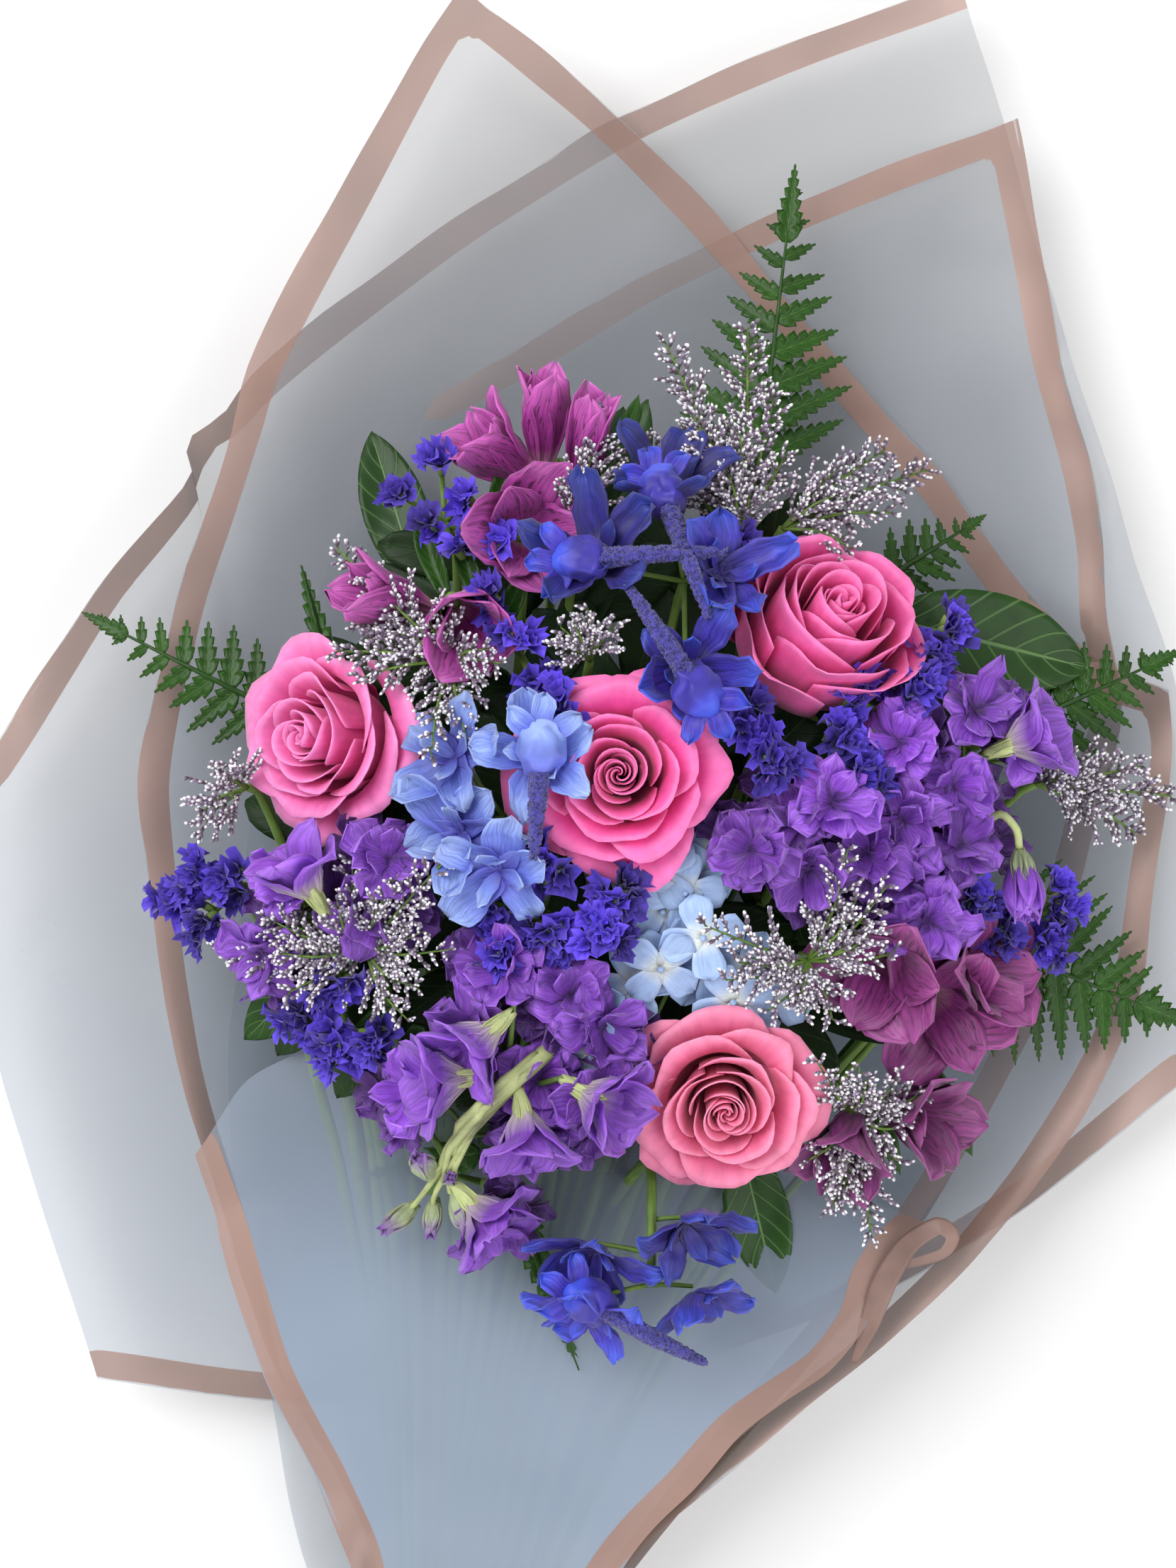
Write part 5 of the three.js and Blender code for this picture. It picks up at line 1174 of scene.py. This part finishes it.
def build_ties():
    heap = new_heap()
    for k in range(TWINE_TURNS):
        y = NECK.y - TWINE_BACK + (k - (TWINE_TURNS - 1) / 2) * TWINE_PITCH
        ring = [Vector((NECK.x + TWINE_RING * math.cos(a), y + 0.4 * math.sin(a),
                        NECK.z + TWINE_RING * math.sin(a)))
                for a in (i * 2 * math.pi / 48 for i in range(49))]
        lay(heap, tube(ring, [TWINE_RADIUS, TWINE_RADIUS], 8), HERE, k / TWINE_TURNS)
    finished(heap, "stem_twine_turns", "twine", "twine", "stem_twine")

    def place(u, v):
        angle = math.pi * u
        crease = 0.25 * math.sin(angle * 7 + v * 2) * math.sin(v * math.pi)
        return Vector((NECK.x + (RIBBON_RADII[0] + crease) * math.cos(angle),
                       NECK.y - RIBBON_BACK + (v - 0.5) * RIBBON_WIDTH,
                       NECK.z + (RIBBON_RADII[1] + crease) * math.sin(angle)))
    heap = new_heap()
    lay(heap, grid(72, 8, place, 0.5))
    finished(heap, "wrap_ribbon_band", "ribbon", "ribbon", "wrap_ribbon")


# ---- looks ----
def linear(code):
    """A screen colour such as "e8538c" as the linear values that shaders take."""
    channels = [int(code[i:i + 2], 16) / 255 for i in (0, 2, 4)]
    return tuple(c / 12.92 if c <= 0.04045 else ((c + 0.055) / 1.055) ** 2.4 for c in channels)


def wire(tree, kind, links=(), **values):
    """A node of a kind; `links` feed its inputs by name, and `values` set its own settings."""
    node = tree.nodes.new(kind)
    for name, value in values.items():
        setattr(node, name, value)
    for name, source in dict(links).items():
        if hasattr(source, "is_output"):
            tree.links.new(source, node.inputs[name])
        else:
            node.inputs[name].default_value = source
    return node


def maths(tree, operation, a, b=0.0):
    return wire(tree, "ShaderNodeMath", {0: a, 1: b}, operation=operation).outputs[0]


def times(tree, a, b):
    return maths(tree, "MULTIPLY", a, b)


def blend(tree, factor, a, b):
    """Between two colours, which are the mix node's sockets 6 and 7."""
    return wire(tree, "ShaderNodeMix", {0: factor, 6: a, 7: b}, data_type="RGBA").outputs[2]


def span(tree, value, a, b, c=0.0, d=1.0):
    return wire(tree, "ShaderNodeMapRange", {"Value": value, "From Min": a, "From Max": b,
                                             "To Min": c, "To Max": d}).outputs[0]


def own_map(tree):
    """Across and along the piece's own map."""
    uv = wire(tree, "ShaderNodeUVMap", uv_map="uv")
    split = wire(tree, "ShaderNodeSeparateXYZ", {"Vector": uv.outputs[0]})
    return split.outputs[0], split.outputs[1]


def own_noise(tree, scale, detail=2.0, distortion=0.0):
    """Noise that is fixed to the piece."""
    spot = wire(tree, "ShaderNodeTexCoord")
    return wire(tree, "ShaderNodeTexNoise", {"Vector": spot.outputs["Object"], "Scale": scale,
                                             "Detail": detail, "Distortion": distortion}).outputs[0]


def own_shade(tree, name="shade"):
    return wire(tree, "ShaderNodeAttribute", attribute_name=name).outputs["Fac"]


def streaks(tree, across, along, layer, scale, detail):
    """Noise drawn out along the piece's own map; `layer` makes each stamped copy differ."""
    place = wire(tree, "ShaderNodeCombineXYZ", {"X": across, "Y": along, "Z": layer})
    return wire(tree, "ShaderNodeTexNoise", {"Vector": place.outputs[0], "Scale": scale,
                                             "Detail": detail}).outputs[0]


def group(name, inputs, outputs):
    tree = bpy.data.node_groups.new(name, "ShaderNodeTree")
    for label, kind, value in inputs:
        socket = tree.interface.new_socket(label, in_out="INPUT", socket_type=kind)
        socket.default_value = value
    for label, kind in outputs:
        tree.interface.new_socket(label, in_out="OUTPUT", socket_type=kind)
    return tree, tree.nodes.new("NodeGroupInput").outputs, tree.nodes.new("NodeGroupOutput").inputs


COLOUR, NUMBER = "NodeSocketColor", "NodeSocketFloat"


def petal_group():
    """Petal colour from foot to rim, with fine veins along it, mottling and each copy's shade value, which
    carries painted light and shade where a look spreads it.
    """
    tree, given, out = group("petal_grain", [
        ("Foot", COLOUR, (1, 1, 1, 1)), ("Body", COLOUR, (1, 1, 1, 1)), ("Rim", COLOUR, (1, 1, 1, 1)),
        ("Veins", NUMBER, 9.0), ("Vein Depth", NUMBER, 0.3), ("Spread", NUMBER, 0.4),
        ("Foot Reach", NUMBER, 0.45), ("Rim Start", NUMBER, 0.62),
    ], [("Color", COLOUR), ("Height", NUMBER)])
    across, along = own_map(tree)
    vein = streaks(tree, times(tree, across, given["Veins"]), times(tree, along, 0.9),
                   times(tree, own_shade(tree), 7.0), 2.2, 3.0)
    lower = blend(tree, span(tree, along, 0.0, given["Foot Reach"]), given["Foot"], given["Body"])
    upper = blend(tree, span(tree, along, given["Rim Start"], 1.0), lower, given["Rim"])
    depth = times(tree, span(tree, vein, 0.35, 0.65, 1.0, 0.0), given["Vein Depth"])
    dark = maths(tree, "SUBTRACT", 1.0, depth)
    # Spread turns each copy's shade value into lighter or darker petals: painted light and shade for some
    # flowers
    spread = times(tree, maths(tree, "SUBTRACT", own_shade(tree), 0.5), given["Spread"])
    light = times(tree, dark, maths(tree, "ADD", 1.0, spread))
    light = times(tree, light, span(tree, own_noise(tree, 160.0, 3.0), 0.3, 0.7, 0.9, 1.08))
    shaded = wire(tree, "ShaderNodeHueSaturation", {"Color": upper, "Value": light})
    tree.links.new(shaded.outputs[0], out["Color"])
    tree.links.new(vein, out["Height"])
    return tree


def leaf_group():
    """Leaf green with a pale midrib, side veins and blotches."""
    tree, given, out = group("leaf_grain", [
        ("Body", COLOUR, (1, 1, 1, 1)), ("Vein", COLOUR, (1, 1, 1, 1)), ("Veins", NUMBER, 9.0),
        ("Vein Strength", NUMBER, 0.3),
    ], [("Color", COLOUR), ("Height", NUMBER)])
    across, along = own_map(tree)
    off = maths(tree, "ABSOLUTE", maths(tree, "SUBTRACT", across, 0.5))
    slant = maths(tree, "SUBTRACT", along, times(tree, off, 0.5))
    wave = maths(tree, "SINE", times(tree, times(tree, slant, given["Veins"]), 6.283))
    ribs = span(tree, wave, 0.86, 1.0)
    midrib = span(tree, off, 0.03, 0.012)
    lines = maths(tree, "MAXIMUM", times(tree, ribs, 0.6), midrib)
    base = wire(tree, "ShaderNodeHueSaturation", {
        "Color": given["Body"],
        "Value": times(tree, span(tree, own_noise(tree, 120.0, 4.0), 0.3, 0.7, 0.78, 1.2),
                       span(tree, own_shade(tree), 0.0, 1.0, 0.75, 1.25))})
    mixed = blend(tree, times(tree, lines, given["Vein Strength"]), base.outputs[0], given["Vein"])
    tree.links.new(mixed, out["Color"])
    tree.links.new(maths(tree, "SUBTRACT", 1.0, lines), out["Height"])
    return tree


def material(name, roughness=0.5, **settings):
    look = bpy.data.materials.new(name)
    look.use_nodes = True
    tree = look.node_tree
    shader = tree.nodes["Principled BSDF"]
    shader.inputs["Roughness"].default_value = roughness
    for label, value in settings.items():
        shader.inputs[label.replace("_", " ").title().replace("Ior", "IOR")].default_value = value
    return look, tree, shader


def bump(tree, shader, height, strength, distance):
    node = wire(tree, "ShaderNodeBump", {"Height": height, "Strength": strength, "Distance": distance})
    tree.links.new(node.outputs[0], shader.inputs["Normal"])


def petal_look(grain, name, foot, body, rim, veins=9.0, depth=0.25, spread=0.4, roughness=0.5,
               glow=0.15, relief=0.35, foot_reach=0.45, rim_start=0.62, flecks=0.0):
    look, tree, shader = material(name, roughness, subsurface_weight=glow, sheen_weight=0.15,
                                  subsurface_scale=0.002, subsurface_radius=(1.0, 0.6, 0.8))
    node = wire(tree, "ShaderNodeGroup", {
        "Foot": (*foot, 1), "Body": (*body, 1), "Rim": (*rim, 1), "Veins": veins, "Vein Depth": depth,
        "Spread": spread, "Foot Reach": foot_reach, "Rim Start": rim_start}, node_tree=grain)
    tint = node.outputs["Color"]
    if flecks:
        across, along = own_map(tree)
        dashes = streaks(tree, times(tree, across, 16.0), times(tree, along, 5.0),
                         times(tree, own_shade(tree), 5.0), 1.6, 0.0)
        mask = times(tree, span(tree, dashes, 0.64, 0.7), span(tree, along, 0.25, 0.4))
        mask = times(tree, mask, span(tree, along, 0.9, 0.7))
        tint = blend(tree, times(tree, mask, flecks), tint, (*(c * 0.12 for c in body), 1))
    tree.links.new(tint, shader.inputs["Base Color"])
    bump(tree, shader, node.outputs["Height"], relief, 0.0004)
    return look


def leaf_look(grain, name, body, vein, veins=9.0, strength=0.3, roughness=0.4, relief=0.4, coat=0.0):
    look, tree, shader = material(name, roughness, coat_weight=coat, specular_ior_level=0.3)
    node = wire(tree, "ShaderNodeGroup", {"Body": (*body, 1), "Vein": (*vein, 1), "Veins": veins,
                                          "Vein Strength": strength}, node_tree=grain)
    tree.links.new(node.outputs["Color"], shader.inputs["Base Color"])
    bump(tree, shader, node.outputs["Height"], relief, 0.0005)
    return look


PAINTED_COOL_LIGHT = (0.92, 1.02, 1.16)   # the film is painted bluer towards its foot and greyer towards its head: a painted reflection of cool light
PAINTED_WARM_LIGHT = (1.06, 1.0, 0.94)
STACKED_VEIL = 0.4          # what lies well behind the front flap is blurred away by the frost


def film_look(tone, print_tone, veil, border):
    """Frosted film: a border strip is printed where the rim attribute, in millimetres, is small."""
    look, tree, shader = material("frosted_film", 0.38, ior=1.45, sheen_weight=0.1)
    rim = own_shade(tree, "rim")
    strip = times(tree, span(tree, rim, border + 0.5, border), span(tree, rim, 0.4, 0.9))
    spot = wire(tree, "ShaderNodeTexCoord")
    cloud, fine = own_noise(tree, 14.0), own_noise(tree, 900.0)
    # the border print is painted lighter in broad cloudy patches: a painted satin sheen
    painted_satin_sheen = blend(tree, span(tree, cloud, 0.35, 0.65), (*print_tone, 1),
                  (*(min(c * 1.35, 1) for c in print_tone), 1))
    split = wire(tree, "ShaderNodeSeparateXYZ", {"Vector": spot.outputs["Object"]})
    cool, warm = ((*(c * f for c, f in zip(tone, cast)), 1) for cast in (PAINTED_COOL_LIGHT, PAINTED_WARM_LIGHT))
    # the plain film is painted cooler at its foot and warmer at its head: a painted reflection
    plain = blend(tree, span(tree, split.outputs[1], -0.1, 0.3), cool, warm)
    tree.links.new(blend(tree, strip, plain, painted_satin_sheen), shader.inputs["Base Color"])
    hides = maths(tree, "ADD", span(tree, cloud, 0.3, 0.7, veil - 0.03, veil + 0.03),
                  times(tree, own_shade(tree, "veil"), STACKED_VEIL))
    tree.links.new(maths(tree, "MAXIMUM", hides, times(tree, strip, 0.86)),
                   shader.inputs["Alpha"])
    tree.links.new(times(tree, strip, 0.12), shader.inputs["Metallic"])
    height = maths(tree, "ADD", times(tree, cloud, 6.0),
                   times(tree, fine, 0.04))
    bump(tree, shader, height, 0.35, 0.0006)
    return look


def border_look(print_tone):
    """The underside of the printed border, a little duller than its face."""
    look, tree, shader = material("border_underside", 0.45, alpha=0.85)
    cloud = own_noise(tree, 60.0)
    tree.links.new(blend(tree, span(tree, cloud, 0.3, 0.7), (*(c * 0.8 for c in print_tone), 1),
                         (*(c * 1.15 for c in print_tone), 1)), shader.inputs["Base Color"])
    bump(tree, shader, cloud, 0.3, 0.0005)
    return look


def spur_look(dark, light):
    """Wrinkled skin: the ridges are painted pale as highlights and the furrows dark as painted shade."""
    look, tree, shader = material("larkspur_spurs", 0.65, sheen_weight=0.3)
    wrinkle = own_noise(tree, 700.0, 2.0, 0.6)
    ridge = span(tree, maths(tree, "ABSOLUTE", maths(tree, "SUBTRACT", wrinkle, 0.5)), 0.0, 0.14)
    # painted highlights on the ridges, painted shade in the furrows
    tree.links.new(blend(tree, ridge, (*light, 1), (*dark, 1)), shader.inputs["Base Color"])
    bump(tree, shader, ridge, 0.8, -0.0006)
    return look


def fibre_look(name, colour, roughness, turns, depth):
    """A twisted or woven thread: slanting strands drawn on the piece's own map."""
    look, tree, shader = material(name, roughness, sheen_weight=0.3)
    across, along = own_map(tree)
    wave = maths(tree, "SINE", maths(tree, "ADD", times(tree, along, turns),
                                     times(tree, across, 12.566)))
    # the strands are painted lighter on their crests and darker in the grooves between them: painted
    # highlight and shade
    lit = wire(tree, "ShaderNodeHueSaturation", {"Color": (*colour, 1),
                                                 "Value": span(tree, wave, -1.0, 1.0, 1 - depth, 1.1)})
    tree.links.new(lit.outputs[0], shader.inputs["Base Color"])
    bump(tree, shader, wave, 0.6, 0.0003)
    return look


# ---- settings that a user would change ----
def tone(label, code):
    return bpy.props.FloatVectorProperty(name=label, description=f"Colour of the {label.lower()}",
                                         subtype="COLOR", size=3, min=0, max=1, default=linear(code))


class BouquetColours(bpy.types.PropertyGroup):
    rose_left: tone("Left rose", "fb72bb")
    rose_centre: tone("Centre rose", "f652a6")
    rose_upper_right: tone("Upper right rose", "f75cac")
    rose_lower: tone("Lower rose", "ef729e")
    stock: tone("Stock", "8444be")
    statice: tone("Statice", "4a30b4")
    sea_lavender: tone("Sea lavender", "d3c6e4")
    larkspur: tone("Larkspur", "3e34b0")
    larkspur_light: tone("Light larkspur", "7d95ea")
    hydrangea: tone("Hydrangea", "a9c4f2")
    alstroemeria: tone("Alstroemeria", "9e368e")
    fern: tone("Fern", "23490e")
    broad_leaf: tone("Broad leaf", "1f450e")
    stem: tone("Stem", "6f8f42")
    film: tone("Film", "939aa3")
    border: tone("Film border", "90746a")
    twine: tone("Twine", "b8996b")
    ribbon: tone("Ribbon", "c9a196")


class BouquetSizes(bpy.types.PropertyGroup):
    border: bpy.props.FloatProperty(name="Border", description="Width of the film's printed border",
                                    default=0.0100, min=0.002, max=0.03, unit="LENGTH")
    veil: bpy.props.FloatProperty(name="Veil", description="How much one sheet of film hides",
                                  default=0.45, min=0.05, max=0.9, subtype="FACTOR")


def settings():
    return bpy.context.scene.bouquet_colours, bpy.context.scene.bouquet_sizes


def make_looks():
    colours, sizes = settings()
    petals, leaves = petal_group(), leaf_group()

    def shade(colour, factor, lift=0.0):
        return tuple(min(c * factor + lift, 1) for c in colour)
    # each rose's rim is lighter, partly the petals' own paler edge and partly a painted highlight on the
    # curled lips; spread darkens the inner petals as painted shade
    for name, foot_reach, spread in (("left", 0.4, 0.1), ("centre", 0.4, 0.4), ("upper_right", 0.85, 0.0),
                                     ("lower", 0.5, 0.2)):
        c = getattr(colours, f"rose_{name}")
        foot = linear("b9719f") if name == "upper_right" else shade(c, 0.8)
        LOOKS[f"rose_{name}"] = petal_look(petals, f"rose_{name}_petals", foot, c, shade(c, 1.04, 0.11),
                                           7.0, 0.14, spread, 0.5, 0.2, 0.25, foot_reach, 0.84)
    # the stock's dark foot and deep veins stand for the shade in the florets' centres and folds, over the
    # petals' own veins, and its wide spread darkens the lower florets: painted shade
    LOOKS["stock"] = petal_look(petals, "stock_petals", shade(colours.stock, 0.35), colours.stock,
                                shade(colours.stock, 1.3, 0.05), 9.0, 0.5, 1.1, 0.5, 0.1, 0.8)
    LOOKS["stock_side"] = petal_look(petals, "stock_side_petals", linear("d8d2ae"), colours.stock,
                                     shade(colours.stock, 1.4, 0.06), 9.0, 0.4, 0.6, 0.5, 0.1, 0.8,
                                     foot_reach=0.5)
    LOOKS["statice"] = petal_look(petals, "statice_frills", shade(colours.statice, 0.4), colours.statice,
                                  shade(colours.statice, 1.7, 0.02), 12.0, 0.4, 0.9, 0.7)
    LOOKS["sea_lavender"] = petal_look(petals, "sea_lavender_buds", colours.sea_lavender,
                                       linear("f4f0f6"), linear("ffffff"), 3.0, 0.1, 0.3, 0.7,
                                       foot_reach=0.4, rim_start=0.45)
    LOOKS["sea_lavender_cups"] = petal_look(petals, "sea_lavender_cups", linear("55563a"),
                                            linear("806c86"), shade(colours.sea_lavender, 0.7),
                                            3.0, 0.4, 0.9, 0.75,
                                            foot_reach=0.6, rim_start=0.6)
    LOOKS["larkspur"] = petal_look(petals, "larkspur_petals", linear("2b1a70"), colours.larkspur,
                                   linear("425ce2"), 12.0, 0.6, 1.0, 0.5, rim_start=0.65, foot_reach=0.5)
    LOOKS["larkspur_light"] = petal_look(petals, "larkspur_light_petals", linear("4a3fb4"),
                                         colours.larkspur_light, linear("a9c0f8"), 12.0, 0.4, 0.5,
                                         foot_reach=0.7)
    LOOKS["hydrangea"] = petal_look(petals, "hydrangea_petals", linear("f2f4e8"), colours.hydrangea,
                                    shade(colours.hydrangea, 0.9), 6.0, 0.15, 0.4)
    LOOKS["alstroemeria"] = petal_look(petals, "alstroemeria_petals", linear("e8b6c4"),
                                       colours.alstroemeria, shade(colours.alstroemeria, 1.4, 0.06),
                                       11.0, 0.5, 0.8, 0.45, foot_reach=0.3, flecks=0.75)
    LOOKS["fern"] = leaf_look(leaves, "fern_leaflets", colours.fern, linear("6f9c4a"), 7.0, 0.35, 0.32)
    LOOKS["broad_leaf"] = leaf_look(leaves, "broad_leaf_skin", colours.broad_leaf, linear("7da566"),
                                    7.0, 0.5, 0.42, 0.7, 0.1)
    LOOKS["spur"] = spur_look(shade(colours.larkspur, 0.25), shade(colours.larkspur, 1.05, 0.03))
    LOOKS["buds"] = petal_look(petals, "stock_buds", linear("b4c490"), linear("a4b088"),
                               linear("8a5cb2"), 7.0, 0.4, 0.3, 0.6)
    # the inner foliage is the broad leaf's colour at half its value: partly the leaves' own deeper green,
    # partly painted shade under the heads
    LOOKS["foliage"] = leaf_look(leaves, "inner_foliage", shade(colours.broad_leaf, 0.5),
                                 linear("3f6b35"), 6.0, 0.3, 0.5, 0.5)
    LOOKS["pale_stem"] = leaf_look(leaves, "pale_stem", linear("b3bd82"), linear("d4dcae"), 3.0, 0.4, 0.5)
    LOOKS["stem"] = leaf_look(leaves, "fresh_stem", colours.stem, linear("a9c878"), 3.0, 0.3, 0.45)
    LOOKS["film"] = film_look(colours.film, colours.border, sizes.veil, sizes.border / MM)
    LOOKS["border"] = border_look(colours.border)
    LOOKS["twine"] = fibre_look("twisted_twine", colours.twine, 0.85, 260.0, 0.4)
    LOOKS["ribbon"] = fibre_look("satin_ribbon", colours.ribbon, 0.35, 90.0, 0.12)


# ---- operators ----
LIGHTS = (                  # place and size in metres, and power in watts; each aims at the origin
    dict(name="key", spot=(-0.9, 0.8, 1.7), size=1.4, power=30),
    dict(name="fill", spot=(1.1, -0.7, 1.4), size=1.6, power=11),
    dict(name="front", spot=(0.1, -1.4, 0.9), size=1.2, power=6),
)
WORLD_LIGHT = 0.6
SENSOR = 36.0
FLOOR_HALF = 6.0
FLOOR_GAP = 0.0006
FLOOR_TONE = (0.86, 0.86, 0.86, 1)


class BOUQUET_OT_stage(bpy.types.Operator):
    """Set the camera over the bouquet, with a pale floor and soft light"""
    bl_idname = "bouquet.stage"
    bl_label = "Camera and stage"

    def execute(self, context):
        camera = bpy.data.cameras.new("camera")
        camera.lens = SENSOR / 2 / HALF_VIEW
        camera.sensor_width = SENSOR
        eye = bpy.data.objects.new("camera", camera)
        eye.location = TO_ROW @ Vector((0, 0, VIEW_HEIGHT))
        context.scene.collection.objects.link(eye)
        context.scene.camera = eye
        bm = bmesh.new()
        bmesh.ops.create_grid(bm, x_segments=2, y_segments=2, size=FLOOR_HALF)
        mesh = bpy.data.meshes.new("floor")
        bm.to_mesh(mesh)
        bm.free()
        mesh.transform(Matrix.Translation((0, 0, -FLOOR_GAP)))
        look, tree, shader = material("floor", 0.8)
        shader.inputs["Base Color"].default_value = FLOOR_TONE
        mesh.materials.append(look)
        floor = bpy.data.objects.new("floor", mesh)
        context.scene.collection.objects.link(floor)
        for plan in LIGHTS:
            light = bpy.data.lights.new(plan["name"], "AREA")
            light.size, light.energy = plan["size"], plan["power"]
            lamp = bpy.data.objects.new(plan["name"], light)
            lamp.location = plan["spot"]
            lamp.rotation_euler = (-Vector(plan["spot"])).to_track_quat("-Z", "Y").to_euler()
            context.scene.collection.objects.link(lamp)
        world = bpy.data.worlds.new("studio")
        world.use_nodes = True
        world.node_tree.nodes["Background"].inputs["Color"].default_value = (1, 1, 1, 1)
        world.node_tree.nodes["Background"].inputs["Strength"].default_value = WORLD_LIGHT
        context.scene.world = world
        context.scene.view_settings.view_transform = "Standard"
        return {"FINISHED"}


class BOUQUET_OT_looks(bpy.types.Operator):
    """Mix the petals, leaves, film and ties their finishes"""
    bl_idname = "bouquet.looks"
    bl_label = "Finishes"

    def execute(self, context):
        make_looks()
        return {"FINISHED"}


class BOUQUET_OT_film(bpy.types.Operator):
    """Lay the four sheets of frosted film"""
    bl_idname = "bouquet.film"
    bl_label = "Film"

    def execute(self, context):
        build_film()
        return {"FINISHED"}


class BOUQUET_OT_curl(bpy.types.Operator):
    """Turn the flap's border over at its corner"""
    bl_idname = "bouquet.curl"
    bl_label = "Turned border"

    def execute(self, context):
        build_curl()
        return {"FINISHED"}


class BOUQUET_OT_roses(bpy.types.Operator):
    """Open the four roses"""
    bl_idname = "bouquet.roses"
    bl_label = "Roses"

    def execute(self, context):
        build_roses()
        return {"FINISHED"}


class BOUQUET_OT_foliage(bpy.types.Operator):
    """Fill the gaps under the heads with dark leaves"""
    bl_idname = "bouquet.foliage"
    bl_label = "Inner foliage"

    def execute(self, context):
        build_foliage()
        return {"FINISHED"}


class BOUQUET_OT_stock(bpy.types.Operator):
    """Set the ruffled stock florets"""
    bl_idname = "bouquet.stock"
    bl_label = "Stock"

    def execute(self, context):
        build_stock()
        return {"FINISHED"}


class BOUQUET_OT_statice(bpy.types.Operator):
    """Cluster the papery statice cups"""
    bl_idname = "bouquet.statice"
    bl_label = "Statice"

    def execute(self, context):
        build_statice()
        return {"FINISHED"}


class BOUQUET_OT_sea_lavender(bpy.types.Operator):
    """Branch the sea lavender and its buds"""
    bl_idname = "bouquet.sea_lavender"
    bl_label = "Sea lavender"

    def execute(self, context):
        build_sea_lavender()
        return {"FINISHED"}


class BOUQUET_OT_larkspur(bpy.types.Operator):
    """Hang the spurred larkspur florets"""
    bl_idname = "bouquet.larkspur"
    bl_label = "Larkspur"

    def execute(self, context):
        build_larkspur()
        return {"FINISHED"}


class BOUQUET_OT_hydrangea(bpy.types.Operator):
    """Fill the hydrangea head"""
    bl_idname = "bouquet.hydrangea"
    bl_label = "Hydrangea"

    def execute(self, context):
        build_hydrangea()
        return {"FINISHED"}


class BOUQUET_OT_alstroemeria(bpy.types.Operator):
    """Open the alstroemeria trumpets"""
    bl_idname = "bouquet.alstroemeria"
    bl_label = "Alstroemeria"

    def execute(self, context):
        build_alstroemeria()
        return {"FINISHED"}


class BOUQUET_OT_ferns(bpy.types.Operator):
    """Unfold the fern fronds"""
    bl_idname = "bouquet.ferns"
    bl_label = "Ferns"

    def execute(self, context):
        build_ferns()
        return {"FINISHED"}


class BOUQUET_OT_broad_leaves(bpy.types.Operator):
    """Lay the broad leaves"""
    bl_idname = "bouquet.broad_leaves"
    bl_label = "Broad leaves"

    def execute(self, context):
        build_broad_leaves()
        return {"FINISHED"}


class BOUQUET_OT_ties(bpy.types.Operator):
    """Tie the stems and the film"""
    bl_idname = "bouquet.ties"
    bl_label = "Twine and ribbon"

    def execute(self, context):
        build_ties()
        return {"FINISHED"}


class BOUQUET_PT_panel(bpy.types.Panel):
    """Sizes, colours and pieces of the bouquet"""
    bl_idname = "BOUQUET_PT_panel"
    bl_label = "Bouquet"
    bl_space_type = "VIEW_3D"
    bl_region_type = "UI"
    bl_category = "Bouquet"

    def draw(self, context):
        for owner in settings():
            for name in owner.__annotations__:
                self.layout.prop(owner, name)
        for operator in OPERATORS:
            self.layout.operator(operator.bl_idname)


OPERATORS = (
    BOUQUET_OT_stage, BOUQUET_OT_looks, BOUQUET_OT_film, BOUQUET_OT_curl, BOUQUET_OT_roses,
    BOUQUET_OT_foliage, BOUQUET_OT_stock, BOUQUET_OT_statice, BOUQUET_OT_sea_lavender,
    BOUQUET_OT_larkspur, BOUQUET_OT_hydrangea, BOUQUET_OT_alstroemeria, BOUQUET_OT_ferns,
    BOUQUET_OT_broad_leaves, BOUQUET_OT_ties,
)
CLASSES = (BouquetColours, BouquetSizes, *OPERATORS, BOUQUET_PT_panel)


def register():
    noise.seed_set(NOISE_SEED)
    for item in CLASSES:
        bpy.utils.register_class(item)
    bpy.types.Scene.bouquet_colours = bpy.props.PointerProperty(type=BouquetColours)
    bpy.types.Scene.bouquet_sizes = bpy.props.PointerProperty(type=BouquetSizes)


def unregister():
    del bpy.types.Scene.bouquet_sizes
    del bpy.types.Scene.bouquet_colours
    for item in reversed(CLASSES):
        bpy.utils.unregister_class(item)


def main():
    register()
    for operator in OPERATORS:
        family, name = operator.bl_idname.split(".")
        getattr(getattr(bpy.ops, family), name)()


if __name__ == "__main__":
    main()
